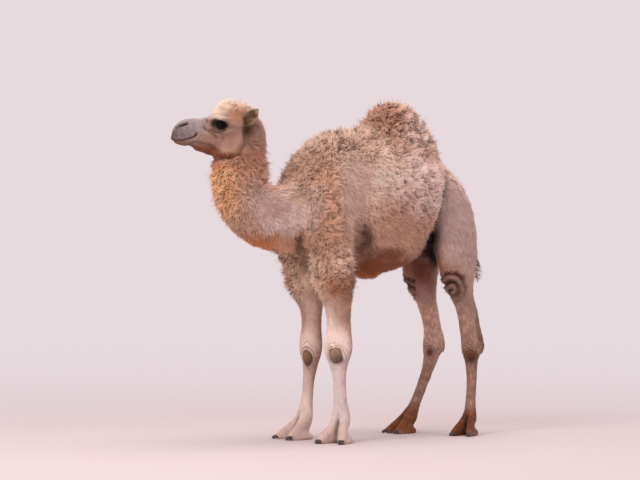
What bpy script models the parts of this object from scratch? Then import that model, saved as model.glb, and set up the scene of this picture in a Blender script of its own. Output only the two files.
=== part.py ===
"""A young dromedary camel, standing, as a still life-size model.

Metres, +Z up. The calf faces -Y and its left side is +X. The floor is z = 0, and the origin
lies on the floor below the middle of the animal. Every outline runs to the tips of the coat.

The flesh is built whole: lofted cages for the trunk, hump, neck, head, legs and toes are
joined by a voxel remesh, thinned, and parted into named pieces with thin cuts. Ears, eyes,
toenails and the tail are pieces of their own, each sitting in a socket of its own shape.
"""

import math

import bmesh
import bpy
from mathutils import Matrix, Vector

# Driving dimensions
FORE_LINE_Y = -0.126         # the fore feet stand this far ahead of the origin
HALF_STANCE = 0.12           # each leg's axis, from the middle of the body
HIND_LINE = 0.64             # the hips, behind the fore feet
HEAD_TURN = math.radians(24)  # the head looks this far to the calf's right
POLL = Vector((-0.062, -0.316, 1.262))  # top of the neck, between the ears
EYE_RADIUS = 0.0185
EYE_SPOT = Vector((0.060, -0.108, -0.0225))   # left eye, in the head's frame
EAR_ROOT = Vector((0.053, -0.018, -0.022))    # left ear, in the head's frame
EAR_AXIS = Vector((0.52, 0.50, 0.62))         # root to tip
EAR_OPENING = Vector((0.92, -0.36, -0.10))    # the way the cup faces
CUT = 0.0008                 # gap between one piece of flesh and the next
SOCKET_GAP = 0.0012          # clearance round a piece that sits in the flesh

# Resolution
CAGE_SIDES = 12
VOXEL = 0.0065
FLESH_SHARE = 0.0180         # share of the remeshed faces that are kept
DETAIL_WEIGHT = 0.25         # vertices of the head resist thinning
DETAIL_FACTOR = 0.0002

# How far a 12-sided cage shrinks under Subdivision Surface
CAGE_SHRINK = (2 + math.cos(2 * math.pi / CAGE_SIDES)) / 3

LEGS = [  # name, is it a fore leg, side, foot and then knee or hock behind the fore line, turn
    ("left_fore", True, 1, 0.017, 0.002, math.radians(28)),
    ("right_fore", True, -1, 0.012, 0.042, math.radians(-2)),
    ("left_hind", False, 1, 0.684, 0.694, math.radians(26)),
    ("right_hind", False, -1, 0.558, 0.682, math.radians(-2)),
]
FOOT_SCALE = {True: (1.0, 1.0), False: (0.76, 0.95)}  # across, and along or up

# Heights of the cuts across each leg, and the pieces they leave, from the top down
FORE_CUTS = (0.650, 0.412, 0.308, 0.100)
FORE_PIECES = ("forearm", "knee", "fore_cannon", "fore_foot")
HIND_CUTS = (0.745, 0.555, 0.410, 0.308, 0.085)
HIND_PIECES = ("thigh", "shank", "hock", "hind_cannon", "hind_foot")

FINISHES = {  # piece: base colour, roughness
    "head": ((0.38, 0.23, 0.17), 0.9),
    "neck": ((0.40, 0.20, 0.13), 0.95),
    "trunk": ((0.44, 0.25, 0.18), 0.95),
    "hump": ((0.38, 0.20, 0.14), 0.95),
    "tail": ((0.20, 0.09, 0.05), 0.95),
    "forearm": ((0.44, 0.26, 0.19), 0.95),
    "knee": ((0.80, 0.62, 0.54), 0.85),
    "fore_cannon": ((0.66, 0.50, 0.45), 0.85),
    "fore_foot": ((0.58, 0.42, 0.36), 0.85),
    "thigh": ((0.40, 0.25, 0.20), 0.95),
    "shank": ((0.42, 0.27, 0.20), 0.9),
    "hock": ((0.22, 0.10, 0.06), 0.9),
    "hind_cannon": ((0.28, 0.15, 0.10), 0.9),
    "hind_foot": ((0.14, 0.06, 0.035), 0.9),
    "ear": ((0.30, 0.17, 0.11), 0.95),
    "eye": ((0.012, 0.007, 0.005), 0.06),
    "toenail": ((0.045, 0.038, 0.033), 0.5),
}


def clear_scene():
    for obj in list(bpy.data.objects):
        bpy.data.objects.remove(obj)


def new_collection(name, hidden=False):
    collection = bpy.data.collections.new(name)
    collection.hide_render = hidden
    bpy.context.scene.collection.children.link(collection)
    return collection


def finish(obj, piece):
    """Gives the object a material of its own, in its piece's colour."""
    colour, roughness = FINISHES[piece]
    material = bpy.data.materials.new(obj.name)
    material.use_nodes = True
    shader = material.node_tree.nodes["Principled BSDF"]
    shader.inputs["Base Color"].default_value = (*colour, 1)
    shader.inputs["Roughness"].default_value = roughness
    shader.inputs["Metallic"].default_value = 0
    obj.data.materials.clear()
    obj.data.materials.append(material)


def ring(centre, tangent, turn, wide, deep, pear=0.0):
    """One cage ring: wide across the body, deep the other way, and pear times wider below."""
    forward = tangent.normalized()
    across = Matrix.Rotation(turn, 3, "Z") @ Vector((1, 0, 0))
    across = (across - forward * across.dot(forward)).normalized()
    upright = forward.cross(across)
    points = []
    for k in range(CAGE_SIDES):
        angle = 2 * math.pi * k / CAGE_SIDES
        out = wide * math.cos(angle) * (1 - pear * math.sin(angle))
        rise = deep * math.sin(angle)
        points.append(centre + (across * out + upright * rise) / CAGE_SHRINK)
    return points


def loft(bm, stations, turn=0.0, move=None, grow=0.0):
    """Adds a closed loft to bm. Each station is (x, y, z, wide, deep) or with a pear share after it."""
    centres = [Vector(s[:3]) for s in stations]
    centres[0] += (centres[0] - centres[1]).normalized() * grow
    centres[-1] += (centres[-1] - centres[-2]).normalized() * grow
    rings = []
    for i, station in enumerate(stations):
        tangent = centres[min(i + 1, len(centres) - 1)] - centres[max(i - 1, 0)]
        pear = station[5] if len(station) > 5 else 0.0
        points = ring(centres[i], tangent, turn, station[3] + grow, station[4] + grow, pear)
        if move:
            points = [move @ p for p in points]
        rings.append([bm.verts.new(p) for p in points])
    for near, far in zip(rings, rings[1:]):
        for k in range(CAGE_SIDES):
            after = (k + 1) % CAGE_SIDES
            bm.faces.new((near[k], near[after], far[after], far[k]))
    bm.faces.new(list(reversed(rings[0])))
    bm.faces.new(rings[-1])


def object_from(bm, name, collection, levels=2):
    bmesh.ops.recalc_face_normals(bm, faces=bm.faces)
    mesh = bpy.data.meshes.new(name)
    bm.to_mesh(mesh)
    bm.free()
    obj = bpy.data.objects.new(name, mesh)
    collection.objects.link(obj)
    if levels:
        smooth = obj.modifiers.new("Round", "SUBSURF")
        smooth.levels = smooth.render_levels = levels
    return obj


def baked(obj):
    """The object with its modifiers applied to its mesh."""
    graph = bpy.context.evaluated_depsgraph_get()
    mesh = bpy.data.meshes.new_from_object(obj.evaluated_get(graph))
    obj.modifiers.clear()
    obj.data = mesh
    return obj


# ---------------------------------------------------------------- trunk, hump and neck

def trunk(bm):
    # Barrel from breast to buttocks, each ring from its top and bottom height.
    profile = [  # behind the fore line, bottom, top, half width, pear
        (-0.195, 0.800, 0.920, 0.050, 0.0),
        (-0.155, 0.755, 0.975, 0.095, 0.10),
        (-0.085, 0.715, 1.065, 0.138, 0.28),
        (0.000, 0.690, 1.165, 0.165, 0.36),
        (0.080, 0.675, 1.238, 0.182, 0.36),
        (0.150, 0.665, 1.262, 0.196, 0.32),
        (0.240, 0.655, 1.250, 0.212, 0.26),
        (0.340, 0.670, 1.235, 0.220, 0.18),
        (0.440, 0.735, 1.212, 0.204, 0.12),
        (0.530, 0.812, 1.166, 0.172, 0.14),
        (0.620, 0.850, 1.088, 0.142, 0.24),
        (0.682, 0.870, 1.020, 0.112, 0.24),
        (0.732, 0.900, 0.960, 0.070, 0.0),
    ]
    loft(bm, [(0, y, (low + top) / 2, half, (top - low) / 2, pear)
              for y, low, top, half, pear in profile])


def chest_pad(bm):
    # The horny cushion under the breastbone, on which a resting camel leans.
    loft(bm, [(0, 0.235, 0.78, 0.085, 0.105), (0, 0.235, 0.70, 0.066, 0.082),
              (0, 0.235, 0.655, 0.046, 0.062), (0, 0.235, 0.645, 0.030, 0.045)])


def hump(bm):
    loft(bm, [(0, 0.385, 1.06, 0.155, 0.235), (0, 0.382, 1.18, 0.137, 0.202),
              (0, 0.372, 1.265, 0.112, 0.162), (0, 0.370, 1.335, 0.078, 0.110),
              (0, 0.370, 1.372, 0.042, 0.064)])


def neck(bm):
    # A deep U: out of the chest, down a little, then straight up to the skull.
    loft(bm, [(0.000, 0.010, 0.915, 0.120, 0.160), (-0.004, -0.115, 0.880, 0.112, 0.145),
              (-0.015, -0.220, 0.876, 0.102, 0.134), (-0.032, -0.310, 0.908, 0.098, 0.124),
              (-0.046, -0.352, 0.978, 0.094, 0.117), (-0.054, -0.354, 1.062, 0.090, 0.119),
              (-0.060, -0.338, 1.130, 0.080, 0.108), (-0.062, -0.288, 1.195, 0.066, 0.078),
              (-0.060, -0.276, 1.240, 0.054, 0.062)])


# ---------------------------------------------------------------- head

def head_place():
    """Carries the head's own frame (nose towards -Y, origin at the poll) to its place."""
    return Matrix.Translation(POLL) @ Matrix.Rotation(-HEAD_TURN, 4, "Z")


def head(bm):
    profile = [  # ahead of the poll, bottom, top, half width, pear
        (-0.045, -0.085, 0.015, 0.052, 0.0),
        (-0.010, -0.110, 0.066, 0.070, 0.0),
        (0.030, -0.140, 0.086, 0.080, 0.0),
        (0.070, -0.152, 0.071, 0.080, 0.05),
        (0.105, -0.149, 0.038, 0.070, 0.10),
        (0.140, -0.142, 0.020, 0.056, 0.18),
        (0.175, -0.128, 0.014, 0.045, 0.16),
        (0.210, -0.110, 0.013, 0.040, 0.05),
        (0.240, -0.108, 0.006, 0.041, 0.0),
        (0.262, -0.107, -0.012, 0.038, 0.0),
        (0.279, -0.100, -0.036, 0.031, 0.0),
        (0.293, -0.087, -0.060, 0.018, 0.0),
    ]
    loft(bm, [(0, -s, (low + top) / 2, half, (top - low) / 2, -pear)
              for s, low, top, half, pear in profile], move=head_place())
    for side in (-1, 1):
        # Brow and cheek: the orbit stands out from the skull over each eye.
        loft(bm, [(side * 0.050, -0.070, -0.010, 0.020, 0.026),
                  (side * 0.056, -0.100, -0.009, 0.021, 0.030),
                  (side * 0.050, -0.130, -0.014, 0.018, 0.024)], move=head_place())


# ---------------------------------------------------------------- legs

def fore_leg(bm, side, foot_y, knee_y, turn):
    """Shoulder blade, upper arm, woolly forearm, broad flat knee, cannon and fetlock."""
    x = side * HALF_STANCE
    reach = foot_y - knee_y
    loft(bm, [(side * 0.060, 0.090, 1.160, 0.040, 0.080), (side * 0.092, 0.052, 1.075, 0.060, 0.100),
              (side * 0.112, -0.006, 0.980, 0.070, 0.118), (side * 0.118, -0.050, 0.885, 0.072, 0.118),
              (x, -0.035, 0.795, 0.074, 0.098), (x, knee_y - 0.026, 0.715, 0.076, 0.082)])
    loft(bm, [(x, knee_y - 0.030, 0.760, 0.074, 0.078), (x, knee_y - 0.030, 0.700, 0.082, 0.082),
              (x, knee_y - 0.026, 0.640, 0.084, 0.080), (x, knee_y - 0.008, 0.580, 0.070, 0.062),
              (x, knee_y + 0.002, 0.520, 0.058, 0.043), (x, knee_y + 0.002, 0.460, 0.051, 0.037),
              (x, knee_y, 0.405, 0.062, 0.042), (x, knee_y - 0.002, 0.362, 0.067, 0.045),
              (x, knee_y, 0.325, 0.050, 0.037), (x, knee_y + 0.20 * reach, 0.280, 0.032, 0.026),
              (x, knee_y + 0.50 * reach, 0.200, 0.0298, 0.0235), (x, knee_y + 0.75 * reach, 0.140, 0.0325, 0.025),
              (x, foot_y - 0.002, 0.098, 0.049, 0.036), (x, foot_y - 0.004, 0.060, 0.038, 0.031)],
         turn=turn)


def hind_leg(bm, side, foot_y, hock_y, turn):
    """Haunch, thigh, stifle, shank with its tendon, hock, cannon and fetlock."""
    x = side * HALF_STANCE
    hip = HIND_LINE
    haunch = [(side * 0.060, hip - 0.084, 1.065, 0.045, 0.068),
              (side * 0.086, hip - 0.060, 1.000, 0.062, 0.104),
              (side * 0.104, hip - 0.050, 0.930, 0.066, 0.124),
              (side * 0.114, hip - 0.042, 0.840, 0.065, 0.124)]
    loft(bm, [*haunch, (x, hip - 0.026, 0.760, 0.062, 0.112), (x, hip - 0.020, 0.690, 0.057, 0.096),
              (x, hip - 0.013, 0.635, 0.051, 0.079), (x, hip + 0.003, 0.580, 0.040, 0.059),
              (x, hip + 0.018, 0.530, 0.035, 0.049), (x, hip + 0.032, 0.470, 0.031, 0.042),
              (x, hip + 0.046, 0.410, 0.034, 0.048), (x, hock_y, 0.365, 0.038, 0.053),
              (x, hock_y, 0.330, 0.036, 0.046)])
    reach = foot_y - hock_y
    loft(bm, [(x, hock_y + 0.006, 0.385, 0.032, 0.046), (x, hock_y - 0.002, 0.340, 0.034, 0.044),
              (x, hock_y + 0.12 * reach, 0.300, 0.029, 0.035),
              (x, hock_y + 0.004 + 0.30 * reach, 0.250, 0.0245, 0.0285),
              (x, hock_y + 0.003 + 0.60 * reach, 0.170, 0.0235, 0.0265),
              (x, hock_y + 0.82 * reach, 0.115, 0.026, 0.027),
              (x, hock_y + 0.97 * reach, 0.078, 0.034, 0.034), (x, foot_y, 0.050, 0.030, 0.030)],
         turn=turn)
    # Point of the hock, with the tendon running up from it.
    loft(bm, [(x, hock_y + 0.048, 0.335, 0.014, 0.016), (x, hock_y + 0.058, 0.368, 0.018, 0.020),
              (x, hock_y + 0.046, 0.420, 0.011, 0.014), (x, hock_y + 0.018, 0.520, 0.012, 0.018)])


def foot_place(side, foot_y, turn):
    return Matrix.Translation((side * HALF_STANCE, foot_y, 0)) @ Matrix.Rotation(turn, 4, "Z")


def foot(bm, place, scale):
    """Two long splayed toes, parted from the fetlock down, on soft soles cut flat at the floor later."""
    spread, reach = scale
    for toe in (-1, 1):
        loft(bm, [(toe * x * spread, y * reach, z * reach, wide * spread, deep * reach) for x, y, z, wide, deep in (
                      (0.015, 0.004, 0.098, 0.023, 0.028), (0.022, -0.022, 0.066, 0.0235, 0.026),
                      (0.033, -0.056, 0.040, 0.0245, 0.022), (0.043, -0.088, 0.021, 0.0245, 0.018),
                      (0.048, -0.110, 0.008, 0.0205, 0.014))], move=place)
        loft(bm, [(toe * x * spread, y, z, wide * spread, deep) for x, y, z, wide, deep in (
                      (0.026, 0.010, 0.010, 0.024, 0.016), (0.031, -0.010, 0.010, 0.034, 0.021),
                      (0.039, -0.050 * reach, 0.008, 0.035, 0.020),
                      (0.045, -0.092 * reach, 0.003, 0.027, 0.014))], move=place)


# ---------------------------------------------------------------- whole flesh

def is_detailed(point):
    """True on the head, which keeps more of its faces."""
    return point.z > POLL.z - 0.16 and point.y < POLL.y + 0.08


def flesh(collection):
    bm = bmesh.new()
    trunk(bm)
    chest_pad(bm)
    hump(bm)
    neck(bm)
    head(bm)
    for _, fore, side, foot_y, joint_y, turn in LEGS:
        build = fore_leg if fore else hind_leg
        build(bm, side, foot_y, joint_y, turn)
        foot(bm, foot_place(side, foot_y, turn), FOOT_SCALE[fore])
    body = object_from(bm, "flesh", collection)
    remesh = body.modifiers.new("Join", "REMESH")
    remesh.mode = "VOXEL"
    remesh.voxel_size = VOXEL
    soften = body.modifiers.new("Soften", "SMOOTH")
    soften.factor = 0.5
    soften.iterations = 6
    baked(body)
    group = body.vertex_groups.new(name="thinning")
    for vertex in body.data.vertices:
        group.add([vertex.index], DETAIL_WEIGHT if is_detailed(vertex.co) else 1.0, "REPLACE")
    thin = body.modifiers.new("Thin", "DECIMATE")
    thin.ratio = FLESH_SHARE
    thin.vertex_group = group.name
    thin.vertex_group_factor = DETAIL_FACTOR
    return body


# ---------------------------------------------------------------- pieces that sit in the flesh

def side_place(side):
    """The head's frame, mirrored for the right side."""
    return head_place() @ Matrix.Diagonal((side, 1, 1, 1))


def eye(side, grow=0.0):
    bm = bmesh.new()
    place = side_place(side) @ Matrix.Translation(EYE_SPOT)
    bmesh.ops.create_uvsphere(bm, u_segments=16, v_segments=10, radius=EYE_RADIUS + grow, matrix=place)
    return bm


def ear_place(side):
    """Ear frame: root to tip along Z, the cup facing -Y."""
    axis = EAR_AXIS.normalized()
    opening = (EAR_OPENING - axis * EAR_OPENING.dot(axis)).normalized()
    across = axis.cross(opening)
    turn = Matrix((across, -opening, axis)).transposed().to_4x4()
    return side_place(side) @ Matrix.Translation(EAR_ROOT) @ turn


def ear(side, grow=0.0):
    bm = bmesh.new()
    loft(bm, [(0, 0.000, -0.012, 0.011, 0.011), (0, 0.000, 0.008, 0.015, 0.013),
              (0, -0.002, 0.034, 0.027, 0.014), (0, -0.001, 0.060, 0.024, 0.010),
              (0, 0.002, 0.080, 0.012, 0.005), (0, 0.003, 0.088, 0.005, 0.003)],
         move=ear_place(side), grow=grow)
    return bm


def ear_hollow(side):
    """What the cup of the ear leaves out."""
    bm = bmesh.new()
    loft(bm, [(0, -0.014, 0.012, 0.004, 0.004), (0, -0.013, 0.028, 0.013, 0.010),
              (0, -0.012, 0.048, 0.0195, 0.0125), (0, -0.009, 0.066, 0.0145, 0.009),
              (0, -0.006, 0.078, 0.004, 0.004)], move=ear_place(side))
    return bm


def toenail(side, foot_y, turn, scale, toe, grow=0.0):
    bm = bmesh.new()
    spread, reach = scale
    loft(bm, [(toe * x * spread, y * reach, z, wide * spread, deep) for x, y, z, wide, deep in (
                  (0.045, -0.092, 0.021, 0.009, 0.006), (0.048, -0.107, 0.020, 0.013, 0.009),
                  (0.051, -0.122, 0.013, 0.012, 0.009), (0.053, -0.131, 0.008, 0.007, 0.005))],
         move=foot_place(side, foot_y, turn), grow=grow)
    return bm


def tail(grow=0.0):
    """A thin tail down to the hocks' height, ending in a tuft."""
    bm = bmesh.new()
    loft(bm, [(0.000, 0.690, 0.985, 0.030, 0.026), (0.000, 0.735, 0.972, 0.030, 0.026),
              (0.000, 0.775, 0.925, 0.026, 0.022), (0.003, 0.795, 0.850, 0.022, 0.019),
              (0.006, 0.806, 0.765, 0.022, 0.019), (0.010, 0.814, 0.695, 0.029, 0.024),
              (0.012, 0.818, 0.640, 0.028, 0.022), (0.012, 0.818, 0.590, 0.012, 0.010)], grow=grow)
    return bm


def inset_pieces():
    """Name, finish and builder of every piece with a socket in the flesh."""
    pieces = [("tail", "tail", tail, ())]
    for side, word in ((1, "left"), (-1, "right")):
        pieces.append((f"{word}_eye", "eye", eye, (side,)))
        pieces.append((f"{word}_ear", "ear", ear, (side,)))
    for leg, fore, side, foot_y, _, turn in LEGS:
        for toe in (-1, 1):
            word = "outer" if toe * side > 0 else "inner"
            place = (side, foot_y, turn, FOOT_SCALE[fore], toe)
            pieces.append((f"{leg}_{word}_toenail", "toenail", toenail, place))
    return pieces


# ---------------------------------------------------------------- parting the flesh

def slab(collection, name, centre, size, tilt=0.0):
    """A cutter: a box about centre, tilted about the X axis."""
    bm = bmesh.new()
    place = Matrix.Translation(centre) @ Matrix.Rotation(tilt, 4, "X") @ Matrix.Diagonal((*size, 1))
    bmesh.ops.create_cube(bm, size=1, matrix=place)
    return object_from(bm, name, collection, levels=0)


def add_slabs(cutters):
    slab(cutters, "floor", (0, 0.1, -0.1), (2, 3, 0.2))
    slab(cutters, "under_jaw", (-0.06, -0.342, 1.114), (0.5, 0.5, CUT), math.radians(9.5))
    slab(cutters, "neck_root", (0, -0.165, 0.86), (0.5, CUT, 0.52))
    slab(cutters, "hump_foot", (0, 0.400, 1.212), (0.6, 0.56, CUT), math.radians(-14.4))
    for leg, fore, side, *_ in LEGS:
        reach = (-0.16, 0.14) if fore else (0.49, 0.84)
        for height in FORE_CUTS if fore else HIND_CUTS:
            centre = (side * 0.135, sum(reach) / 2, height)
            slab(cutters, f"{leg}_{height}", centre, (0.23, reach[1] - reach[0], CUT))


def flesh_places():
    """A point inside each piece of flesh, to name it by."""
    places = {
        "head": Vector((-0.10, -0.42, 1.22)),
        "neck": Vector((-0.03, -0.31, 0.97)),
        "trunk": Vector((0, 0.28, 0.95)),
        "hump": Vector((0, 0.38, 1.29)),
    }
    for leg, fore, side, foot_y, joint_y, _ in LEGS:
        cuts, pieces = (FORE_CUTS, FORE_PIECES) if fore else (HIND_CUTS, HIND_PIECES)
        word = leg.split("_")[0]
        for top, low, piece in zip(cuts, (*cuts[1:], 0), pieces):
            y = foot_y if low < HIND_CUTS[-2] or fore else joint_y - 0.04
            places[f"{word}_{piece}"] = Vector((side * HALF_STANCE, y, (top + low) / 2))
    return places


def part_flesh(body, cutters):
    """Cuts the sockets and slabs out of the flesh, and names the pieces this leaves."""
    carve = body.modifiers.new("Carve", "BOOLEAN")
    carve.operand_type = "COLLECTION"
    carve.collection = cutters
    carve.operation = "DIFFERENCE"
    carve.solver = "EXACT"
    baked(body)
    bpy.context.view_layer.objects.active = body
    body.select_set(True)
    bpy.ops.mesh.separate(type="LOOSE")
    places = flesh_places()
    for piece in bpy.context.selected_objects:
        middle = sum((v.co for v in piece.data.vertices), Vector()) / len(piece.data.vertices)
        name = min(places, key=lambda word: (places[word] - middle).length)
        del places[name]
        piece.name = piece.data.name = name
        finish(piece, name.removeprefix("left_").removeprefix("right_"))


def scoop(obj, hollow):
    """Takes the hollow out of the object."""
    cut = obj.modifiers.new("Scoop", "BOOLEAN")
    cut.object = hollow
    cut.operation = "DIFFERENCE"
    cut.solver = "EXACT"


def main():
    clear_scene()
    model = new_collection("camel_calf")
    cutters = new_collection("cutters", hidden=True)
    hollows = new_collection("hollows", hidden=True)
    body = flesh(model)
    for name, piece, build, place in inset_pieces():
        finish(object_from(build(*place), name, model, levels=0), piece)
        object_from(build(*place, grow=SOCKET_GAP), f"{name}_socket", cutters, levels=0)
    for side, word in ((1, "left"), (-1, "right")):
        hollow = object_from(ear_hollow(side), f"{word}_hollow", hollows, levels=0)
        scoop(model.objects[f"{word}_ear"], hollow)
    add_slabs(cutters)
    part_flesh(body, cutters)
    for obj in (*cutters.objects, *hollows.objects):
        obj.hide_render = True
        obj.display_type = "WIRE"
    stance = bpy.data.objects.new("stance", None)
    stance.location.y = FORE_LINE_Y
    for obj in (*model.objects, *cutters.objects, *hollows.objects):
        obj.parent = stance
    model.objects.link(stance)


main()
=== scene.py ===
"""A young dromedary camel, standing: skin, coat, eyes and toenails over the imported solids.

Metres, +Z up. The calf faces -Y, its left side is +X, and the floor is z = 0. Everything is
worked out in the stance frame, where y = 0 is the line of the fore feet, and is moved into
the frame's own place when it is made a mesh.
"""

from __future__ import annotations

import itertools
import logging
import math
import sys
from dataclasses import dataclass, field, fields, replace
from enum import Enum

import bmesh
import bpy
import numpy as np
from bpy.types import Material, Mesh, Node, NodeSocket, NodeTree, Object
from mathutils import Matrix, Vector


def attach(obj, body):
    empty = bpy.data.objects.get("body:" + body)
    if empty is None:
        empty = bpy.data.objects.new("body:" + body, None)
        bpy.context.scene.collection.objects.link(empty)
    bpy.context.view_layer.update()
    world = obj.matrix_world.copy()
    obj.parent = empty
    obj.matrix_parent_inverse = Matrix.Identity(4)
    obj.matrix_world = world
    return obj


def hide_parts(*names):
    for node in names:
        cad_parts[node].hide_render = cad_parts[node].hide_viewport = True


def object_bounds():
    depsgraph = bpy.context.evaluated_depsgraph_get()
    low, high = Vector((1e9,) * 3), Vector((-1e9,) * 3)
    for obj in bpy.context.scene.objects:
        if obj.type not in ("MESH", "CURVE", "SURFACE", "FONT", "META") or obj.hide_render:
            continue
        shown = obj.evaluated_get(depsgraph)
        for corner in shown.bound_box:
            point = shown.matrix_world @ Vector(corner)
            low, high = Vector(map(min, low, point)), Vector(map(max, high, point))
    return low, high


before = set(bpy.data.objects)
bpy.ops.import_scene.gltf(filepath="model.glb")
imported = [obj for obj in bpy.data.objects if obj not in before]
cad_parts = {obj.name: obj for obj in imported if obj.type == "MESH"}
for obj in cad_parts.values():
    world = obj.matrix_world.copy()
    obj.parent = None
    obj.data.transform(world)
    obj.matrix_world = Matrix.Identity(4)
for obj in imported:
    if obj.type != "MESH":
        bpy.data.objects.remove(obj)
CAD_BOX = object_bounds()

LOG = logging.getLogger("calf")
Array = np.ndarray
Rows = tuple[tuple[float, ...], ...]
Triple = tuple[float, float, float]
Inputs = dict[str | int, NodeSocket | float | tuple[float, ...]]

STANCE_SHIFT = np.array((0.0, -0.126, 0.0))  # from the fore feet's line to the origin
HALF_STANCE = 0.12                           # each leg's axis, from the middle of the body
HIND_LINE = 0.64                             # the hips, behind the fore feet
SEED = 20260
LASH_COLOUR = (13, 9, 8)
CELL_OFFSET = 4096                           # keeps the numbers of the tufts' cells above 0


# ---- arithmetic on whole arrays

def unit(vectors: Array) -> Array:
    """Vectors divided by their own length."""
    return vectors / np.maximum(np.linalg.norm(vectors, axis=-1, keepdims=True), 1e-9)


def along_skin(vectors: Array, normals: Array) -> Array:
    """Vectors less their part along the normals."""
    return vectors - normals * (vectors * normals).sum(axis=1, keepdims=True)


def round_ball(far: Array, polar: Array, turn: Array) -> Array:
    """Places `far` out, at a polar angle from +Z and a turn about it from +X."""
    out = far * np.sin(polar)
    return np.stack(np.broadcast_arrays(out * np.cos(turn), out * np.sin(turn), far * np.cos(polar)), axis=-1)


def sow(share: Array, count: int, rng: np.random.Generator) -> tuple[Array, Array]:
    """Random places on triangles, evenly over each.

    A place is u of the way to the second corner and v to the third, with both turned
    back into the triangle where u + v is over 1.

    Args:
        share: how likely each triangle is to be picked, in any unit.
        count: how many places.
        rng: the random numbers.

    Returns:
        The triangle of each place, and its three corners' shares, count x 3.
    """
    picks = rng.choice(len(share), size=count, p=share / share.sum())
    u, v = rng.random((2, count))
    fold = u + v > 1
    u, v = np.where(fold, 1 - u, u), np.where(fold, 1 - v, v)
    return picks, np.stack([1 - u - v, u, v], axis=1)


def mixed(corners: Array, shares: Array) -> Array:
    """Each triangle's three corners (N x 3 x 3) mixed in their shares (N x 3)."""
    return (corners * shares[:, :, None]).sum(axis=1)


def ease(x: Array) -> Array:
    """0 below 0, 1 above 1, and 3x^2 - 2x^3 between."""
    x = np.clip(x, 0.0, 1.0)
    return x * x * (3.0 - 2.0 * x)


def linear(colour: Triple) -> Array:
    """A 0 to 255 screen colour as linear light."""
    c = np.asarray(colour, float) / 255.0
    return np.where(c <= 0.04045, c / 12.92, ((c + 0.055) / 1.055) ** 2.4)


def waves(points: Array, size: float, seed: int, count: int = 8) -> Array:
    """Soft unevenness: the mean of sine waves about `size` long that cross at random angles.

    Args:
        points: N x 3 places.
        size: rough distance from one rise to the next.
        seed: chooses the waves.
        count: how many cross.

    Returns:
        N values, mostly within -1 and 1.
    """
    rng = np.random.default_rng(seed)
    ways = unit(rng.normal(size=(count, 3))) * (2 * np.pi / size)
    ways *= rng.uniform(0.7, 1.5, size=(count, 1))
    return np.sin(points @ ways.T + rng.uniform(0, 6.28, size=count)).sum(axis=1) / math.sqrt(count)


def scatter(cells: Array, seed: int) -> Array:
    """Three even random numbers from 0 to 1 for each whole-number cell, by multiply-and-fold.

    Args:
        cells: whole numbers, N x 3.
        seed: picks another set of numbers.

    Returns:
        The numbers, N x 3.
    """
    c = cells.astype(np.uint64)
    h = (c[:, 0] * np.uint64(73856093)) ^ (c[:, 1] * np.uint64(19349663)) ^ (c[:, 2] * np.uint64(83492791))
    h ^= np.uint64(seed * 2654435761 % 2**32)
    out = []
    for step in range(3):
        h = (h ^ (h >> np.uint64(15))) * np.uint64(2246822519 + 2 * step)
        h = (h ^ (h >> np.uint64(13))) * np.uint64(3266489917)
        out.append(((h >> np.uint64(16)) % np.uint64(65536)).astype(float) / 65536.0)
    return np.stack(out, axis=1)


def clumps(points: Array, size: float, seed: int) -> tuple[Array, Array]:
    """The nearest of the random centres that sit one in each cube of side `size`.

    Args:
        points: N x 3 places.
        size: side of the cubes.
        seed: chooses the centres.

    Returns:
        N x 3 nearest centres, and N x 3 random numbers that belong to each centre.
    """
    home = np.floor(points / size).astype(np.int64) + CELL_OFFSET
    best = np.full(len(points), np.inf)
    centre, marks = np.zeros_like(points), np.zeros_like(points)
    for step in itertools.product((-1, 0, 1), repeat=3):
        cell = home + np.array(step)
        draw = scatter(cell, seed)
        spot = (cell - CELL_OFFSET + draw) * size
        gap = ((points - spot) ** 2).sum(axis=1)
        near = gap < best
        best[near], centre[near] = gap[near], spot[near]
        marks[near] = scatter(cell[near], seed + 7)
    return centre, marks


def path_distance(points: Array, path: Rows) -> Array:
    """Distance from each point to a line of straight runs, in as many dimensions as the path has.

    Args:
        points: N places.
        path: the ends of the runs, in the same dimensions.

    Returns:
        A distance for each place.
    """
    knots = np.asarray(path, float)
    best = np.full(len(points), np.inf)
    for a, b in zip(knots, knots[1:]):
        run = b - a
        share = np.clip(((points - a) @ run) / max(run @ run, 1e-12), 0, 1)
        best = np.minimum(best, np.linalg.norm(points - (a + share[:, None] * run), axis=1))
    return best


def line_weight(points: Array, path: Rows, reach: float) -> Array:
    """exp(-(distance / reach)^2) from a line, worked out only where it is more than a trace.

    Args:
        points: N places.
        path: the ends of the runs.
        reach: how far out the weight falls to 1 / e.

    Returns:
        A weight from 0 to 1 for each place.
    """
    knots = np.asarray(path, float)
    trace = 2.6 * reach
    near = ((points > knots.min(axis=0) - trace) & (points < knots.max(axis=0) + trace)).all(axis=1)
    out = np.zeros(len(points))
    out[near] = np.exp(-((path_distance(points[near], path) / reach) ** 2))
    return out


# ---- surfaces

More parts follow.
